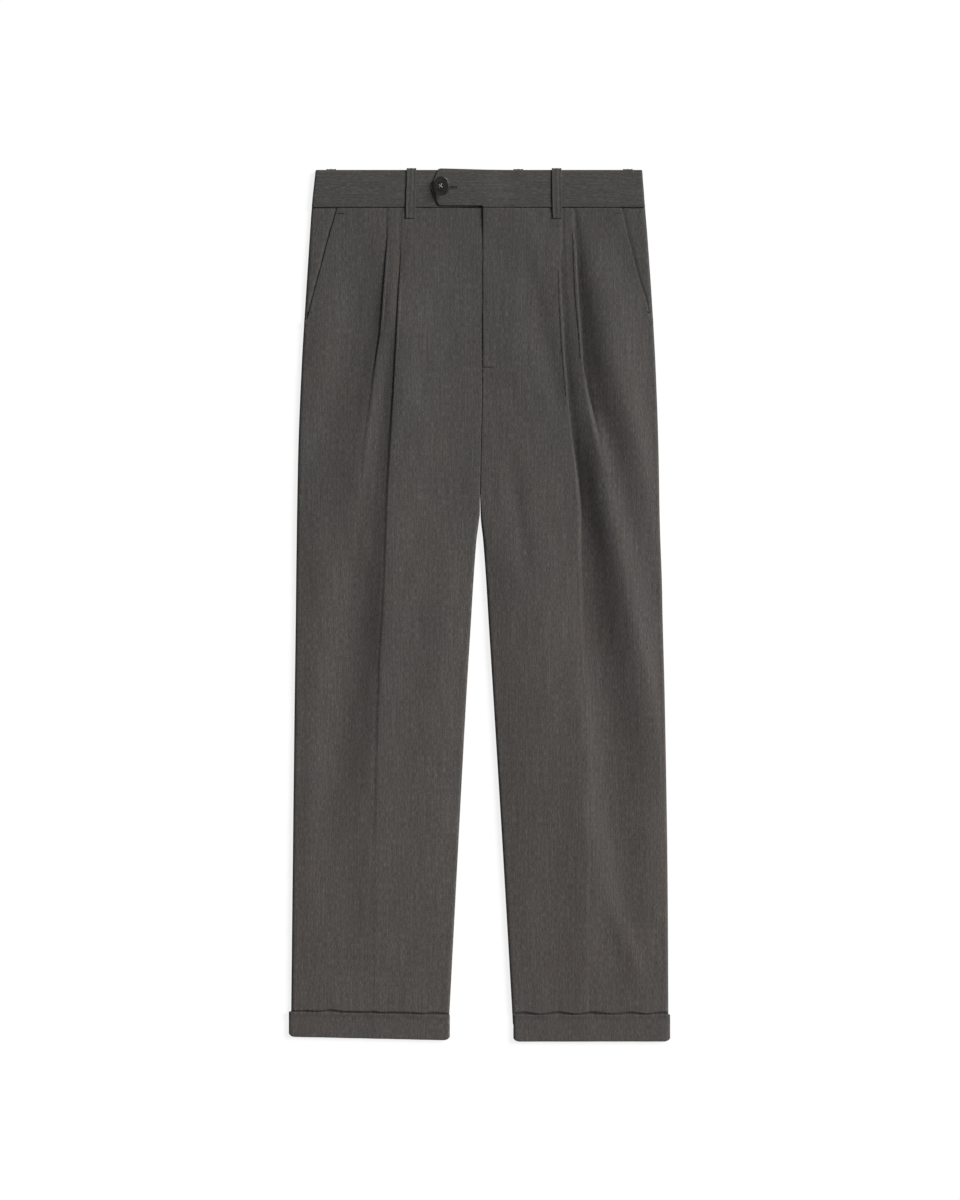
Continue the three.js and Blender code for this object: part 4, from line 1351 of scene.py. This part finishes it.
def make_button():
    """A turned horn button: rolled rim, dished middle and four holes."""
    bpy.ops.mesh.primitive_cylinder_add(vertices=72, radius=BUTTON_RADIUS * MM, depth=BUTTON_THICKNESS * MM)
    piece = bpy.context.object
    piece.name = piece.data.name = "horn_button"
    top = BUTTON_THICKNESS / 2 * MM

    def on_top(polygon):
        return polygon.normal.z > 0.9 and polygon.center.z > top - 1.2 * MM and len(polygon.vertices) > 8

    for inset, rise in BUTTON_FACE:
        bpy.ops.object.mode_set(mode="OBJECT")
        select_faces(piece.data, on_top)
        bpy.ops.object.mode_set(mode="EDIT")
        bpy.ops.mesh.inset(thickness=inset * MM, depth=0)
        bpy.ops.transform.translate(value=(0, 0, rise * MM))
    bpy.ops.object.mode_set(mode="OBJECT")
    select_faces(piece.data, lambda polygon: polygon.normal.z < -0.9)
    bpy.ops.object.mode_set(mode="EDIT")
    bpy.ops.mesh.inset(thickness=2.2 * MM, depth=0)
    bpy.ops.transform.translate(value=(0, 0, -0.5 * MM))
    bpy.ops.object.mode_set(mode="OBJECT")
    for along_x in (-1, 1):
        for along_y in (-1, 1):
            bpy.ops.mesh.primitive_cylinder_add(
                vertices=20, radius=HOLE_RADIUS * MM, depth=9 * MM,
                location=(along_x * HOLE_SPACING * MM, along_y * HOLE_SPACING * MM, 0))
            drill = bpy.context.object
            apply_modifier(piece, "BOOLEAN", object=drill, operation="DIFFERENCE", solver="EXACT")
            bpy.data.objects.remove(drill)
    apply_modifier(piece, "BEVEL", width=0.35 * MM, segments=3, limit_method="ANGLE",
                   angle_limit=math.radians(28))
    only(piece)
    bpy.ops.object.shade_smooth_by_angle(angle=math.radians(40))
    set_button(piece)
    return piece


def make_button_thread():
    """Thread crossed through the four holes, and wound into a shank under the button."""
    cup = BUTTON_THICKNESS / 2 - 0.64
    s = HOLE_SPACING
    paths = []
    for a, b in (((-s, -s), (s, s)), ((-s, s), (s, -s))):
        for aside in (-0.36, 0, 0.36):
            offset = np.array((-(b[1] - a[1]), b[0] - a[0])) / (2 * math.sqrt(2) * s) * aside
            path = []
            for t in (0, 0.06, 0.16, 0.5, 0.84, 0.94, 1):
                x, y = (a[i] + (b[i] - a[i]) * t + offset[i] for i in (0, 1))
                rise = cup + 0.30 + (0.22 if aside == 0 else 0.05) if 0.05 < t < 0.95 else cup - 1.2
                path.append((x, y, rise))
            paths.append(path)
    crossed = thread_mesh("button_thread", paths, 0.34)
    set_button(crossed)
    middle = button_middle()
    top = Vector((middle.x, middle.y, middle.z - 1.2))
    foot = Vector((middle.x + 1.5, middle.y, BAND_FRONT_MID + TAB_LIFT + TAB_THICKNESS / 2 - 0.1))
    wound = []
    for share in np.linspace(0, 1, SHANK_TURNS * 10 + 1):
        place = foot.lerp(top, share)
        turn = 2 * math.pi * share * SHANK_TURNS
        wide = 1.25 + 0.5 * abs(2 * share - 1) ** 3
        wound.append((place.x + wide * math.cos(turn), place.y + wide * math.sin(turn), place.z))
    core = [tuple(foot.lerp(top, t)) for t in (0, 0.5, 1)]
    shank = thread_mesh("button_shank", [wound], 0.32)
    middle_cord = thread_mesh("button_core", [core], 1.2)
    return join("button_thread", [crossed, shank, middle_cord])


# ---------------------------------------------------------------- operators

def fly_bed(y):
    """The level between the fly's underlap and its zip."""
    return 3.7 + back_lift(y) * 0.95


class TROUSERS_OT_stage(bpy.types.Operator):
    """Set up the floor, the light and the camera."""
    bl_idname = "trousers.stage"
    bl_label = "Stage"

    def execute(self, context):
        scene = context.scene
        settings = scene.trouser_stage
        mesh = bpy.data.meshes.new("floor")
        reach, level = 6, -0.05 * MM
        corners = [(-reach, -reach), (reach, -reach), (reach, reach), (-reach, reach)]
        mesh.from_pydata([(x, y, level) for x, y in corners], [], [(0, 1, 2, 3)])
        floor = put_in_scene("floor", mesh)
        floor.data.materials.append(floor_material())

        lamp = bpy.data.lights.new("key", "SUN")
        lamp.energy = settings.key_strength
        lamp.angle = settings.key_softness
        lamp.color = (1.0, 0.99, 0.97)
        key = bpy.data.objects.new("key", lamp)
        scene.collection.objects.link(key)
        height, turn = settings.key_height, settings.key_turn
        aside = math.cos(height)
        towards = Vector((aside * math.cos(turn), aside * math.sin(turn), math.sin(height)))
        key.rotation_euler = towards.to_track_quat("Z", "Y").to_euler()

        world = bpy.data.worlds.new("studio")
        world.use_nodes = True
        scene.world = world
        tree = world.node_tree
        soft = tree.nodes["Background"]
        soft.inputs["Color"].default_value = (0.97, 0.985, 1, 1)
        soft.inputs["Strength"].default_value = settings.fill
        seen = add_node(tree, "ShaderNodeBackground")
        either = add_node(tree, "ShaderNodeMixShader")
        tree.links.new(add_node(tree, "ShaderNodeLightPath").outputs["Is Camera Ray"], either.inputs[0])
        tree.links.new(soft.outputs[0], either.inputs[1])
        tree.links.new(seen.outputs[0], either.inputs[2])
        tree.links.new(either.outputs[0], tree.nodes["World Output"].inputs["Surface"])

        camera_data = bpy.data.cameras.new("camera")
        camera_data.lens = 85
        camera_data.sensor_width = 36
        camera_data.clip_start, camera_data.clip_end = 0.05, 100
        camera = bpy.data.objects.new("camera", camera_data)
        camera.location = (0.6 * MM, 6.6 * MM, settings.camera_height)
        scene.collection.objects.link(camera)
        scene.camera = camera
        scene.view_settings.view_transform = "Standard"
        return {"FINISHED"}


class TROUSERS_OT_fronts(bpy.types.Operator):
    """Make the two pleated front panels."""
    bl_idname = "trousers.fronts"
    bl_label = "Fronts"

    def execute(self, context):
        for side in SIDES:
            cloth_piece(make_front(side), f"front_{side}")
        return {"FINISHED"}


class TROUSERS_OT_backs(bpy.types.Operator):
    """Make the two back panels, which lie on the surface."""
    bl_idname = "trousers.backs"
    bl_label = "Backs"

    def execute(self, context):
        for side in SIDES:
            cloth_piece(make_back(side), f"back_{side}")
        return {"FINISHED"}


class TROUSERS_OT_facings(bpy.types.Operator):
    """Make the side panels that show outside the pocket mouths."""
    bl_idname = "trousers.facings"
    bl_label = "Pocket facings"

    def execute(self, context):
        for side in SIDES:
            cloth_piece(make_facing(side), f"pocket_facing_{side}")
        return {"FINISHED"}


class TROUSERS_OT_fly(bpy.types.Operator):
    """Make the fly's underlap and its zip."""
    bl_idname = "trousers.fly"
    bl_label = "Fly"

    def execute(self, context):
        low, high = UNDERLAP_LOW, UNDERLAP_HIGH
        rows = np.linspace(high.y, low.y, 60)
        outs = np.linspace(low.x, high.x, 18)
        points = [[(x, y, fly_bed(y) - 0.8 + 0.1 * ripple(x, y, 20, 1)) for x in outs] for y in rows]
        underlap = surface("fly_underlap", points, [[(x, y) for x in outs] for y in rows])
        thicken(underlap, 0.8 * MM)
        cloth_piece(underlap, "fly_underlap")

        low, high = ZIP_LOW, ZIP_HIGH
        middle = (low.x + high.x) / 2
        rows = np.arange(high.y, low.y, -0.75)
        outs = np.concatenate([np.linspace(low.x, middle - 3, 6), middle + np.linspace(-2.6, 2.6, 9),
                               np.linspace(middle + 3, high.x, 6)])

        def chain(x, i):
            """The closed teeth stand up from the tape, one after another."""
            return 0.55 * math.sqrt(max(0.0, 1 - ((x - middle) / 2.6) ** 2)) * (1 if i % 2 else 0.6)

        points = [[(x, y, fly_bed(y) + 0.3 + chain(x, i)) for x in outs] for i, y in enumerate(rows)]
        zipper = surface("fly_zip", points, [[(x, y) for x in outs] for y in rows])
        thicken(zipper, 0.5 * MM)
        finish_piece(zipper, zip_material(), "fly_zip")
        return {"FINISHED"}


class TROUSERS_OT_waistband(bpy.types.Operator):
    """Make the two halves of the waistband, the left one with its tab."""
    bl_idname = "trousers.waistband"
    bl_label = "Waistband"

    def execute(self, context):
        for side, length in (("right", 398), ("left", 455)):
            cloth_piece(make_waistband(side), f"waistband_{side}")
        return {"FINISHED"}


class TROUSERS_OT_belt_loops(bpy.types.Operator):
    """Make the belt loops."""
    bl_idname = "trousers.belt_loops"
    bl_label = "Belt loops"

    def execute(self, context):
        for node, x, slant, below in LOOPS:
            cloth_piece(make_loop(node, x, slant, below), node)
        return {"FINISHED"}


class TROUSERS_OT_cuffs(bpy.types.Operator):
    """Make the turn-ups."""
    bl_idname = "trousers.cuffs"
    bl_label = "Turn-ups"

    def execute(self, context):
        for side in SIDES:
            piece = make_cuff(side)
            face_outwards(piece, merge=True)
            cloth_piece(piece, f"cuff_{side}")
        return {"FINISHED"}


class TROUSERS_OT_button(bpy.types.Operator):
    """Make the waist button and the thread that holds it."""
    bl_idname = "trousers.button"
    bl_label = "Button"

    def execute(self, context):
        findings = context.scene.trouser_findings
        finish_piece(make_button(), button_material(), "waist_button")
        thread = thread_material("Button thread", findings.button_thread)
        finish_piece(make_button_thread(), thread)
        return {"FINISHED"}


class TROUSERS_OT_stitching(bpy.types.Operator):
    """Sew the buttonhole and the bar tacks."""
    bl_idname = "trousers.stitching"
    bl_label = "Stitching"

    def execute(self, context):
        cloth = context.scene.trouser_cloth
        # painted shade: the thread is darkened to 0.3 of the yarn, so that the buttonhole's slit and the
        # bar tacks show as dark lines
        thread = thread_material("Grey thread darkened as painted slit shade", tuple(0.3 * c for c in cloth.yarn))
        tacks = [stitch for row in BAR_TACKS for stitch in bar_tack(*row)]
        finish_piece(thread_mesh("bar_tacks", tacks, 0.2), thread)
        finish_piece(thread_mesh("buttonhole_stitches_and_painted_slit_shade", buttonhole_stitches_and_painted_slit_shade(), 0.2), thread)
        return {"FINISHED"}


CLASSES = [
    TrouserCloth, TrouserFindings, TrouserStage,
    TROUSERS_OT_stage, TROUSERS_OT_fronts, TROUSERS_OT_backs, TROUSERS_OT_facings, TROUSERS_OT_fly,
    TROUSERS_OT_waistband, TROUSERS_OT_belt_loops, TROUSERS_OT_cuffs, TROUSERS_OT_button,
    TROUSERS_OT_stitching,
]
SETTINGS = {
    "trouser_cloth": TrouserCloth, "trouser_findings": TrouserFindings, "trouser_stage": TrouserStage,
}


class VIEW3D_PT_trousers(bpy.types.Panel):
    """Sizes, colours and the steps that make the trousers."""
    bl_idname = "VIEW3D_PT_trousers"
    bl_label = "Pleated trousers"
    bl_space_type = "VIEW_3D"
    bl_region_type = "UI"
    bl_category = "Trousers"

    def draw(self, context):
        for setting, kind in SETTINGS.items():
            box = self.layout.box()
            box.label(text=kind.bl_rna.description)
            for key in kind.__annotations__:
                box.prop(getattr(context.scene, setting), key)
        for made in CLASSES:
            if issubclass(made, bpy.types.Operator):
                self.layout.operator(made.bl_idname)


def register():
    for made in [*CLASSES, VIEW3D_PT_trousers]:
        bpy.utils.register_class(made)
    for setting, kind in SETTINGS.items():
        setattr(bpy.types.Scene, setting, PointerProperty(type=kind))


def unregister():
    for setting in SETTINGS:
        delattr(bpy.types.Scene, setting)
    for made in reversed([*CLASSES, VIEW3D_PT_trousers]):
        bpy.utils.unregister_class(made)


def main():
    register()
    bpy.ops.trousers.stage()
    bpy.ops.trousers.backs()
    bpy.ops.trousers.fly()
    bpy.ops.trousers.facings()
    bpy.ops.trousers.fronts()
    bpy.ops.trousers.waistband()
    bpy.ops.trousers.belt_loops()
    bpy.ops.trousers.cuffs()
    bpy.ops.trousers.button()
    bpy.ops.trousers.stitching()


if __name__ == "__main__":
    main()
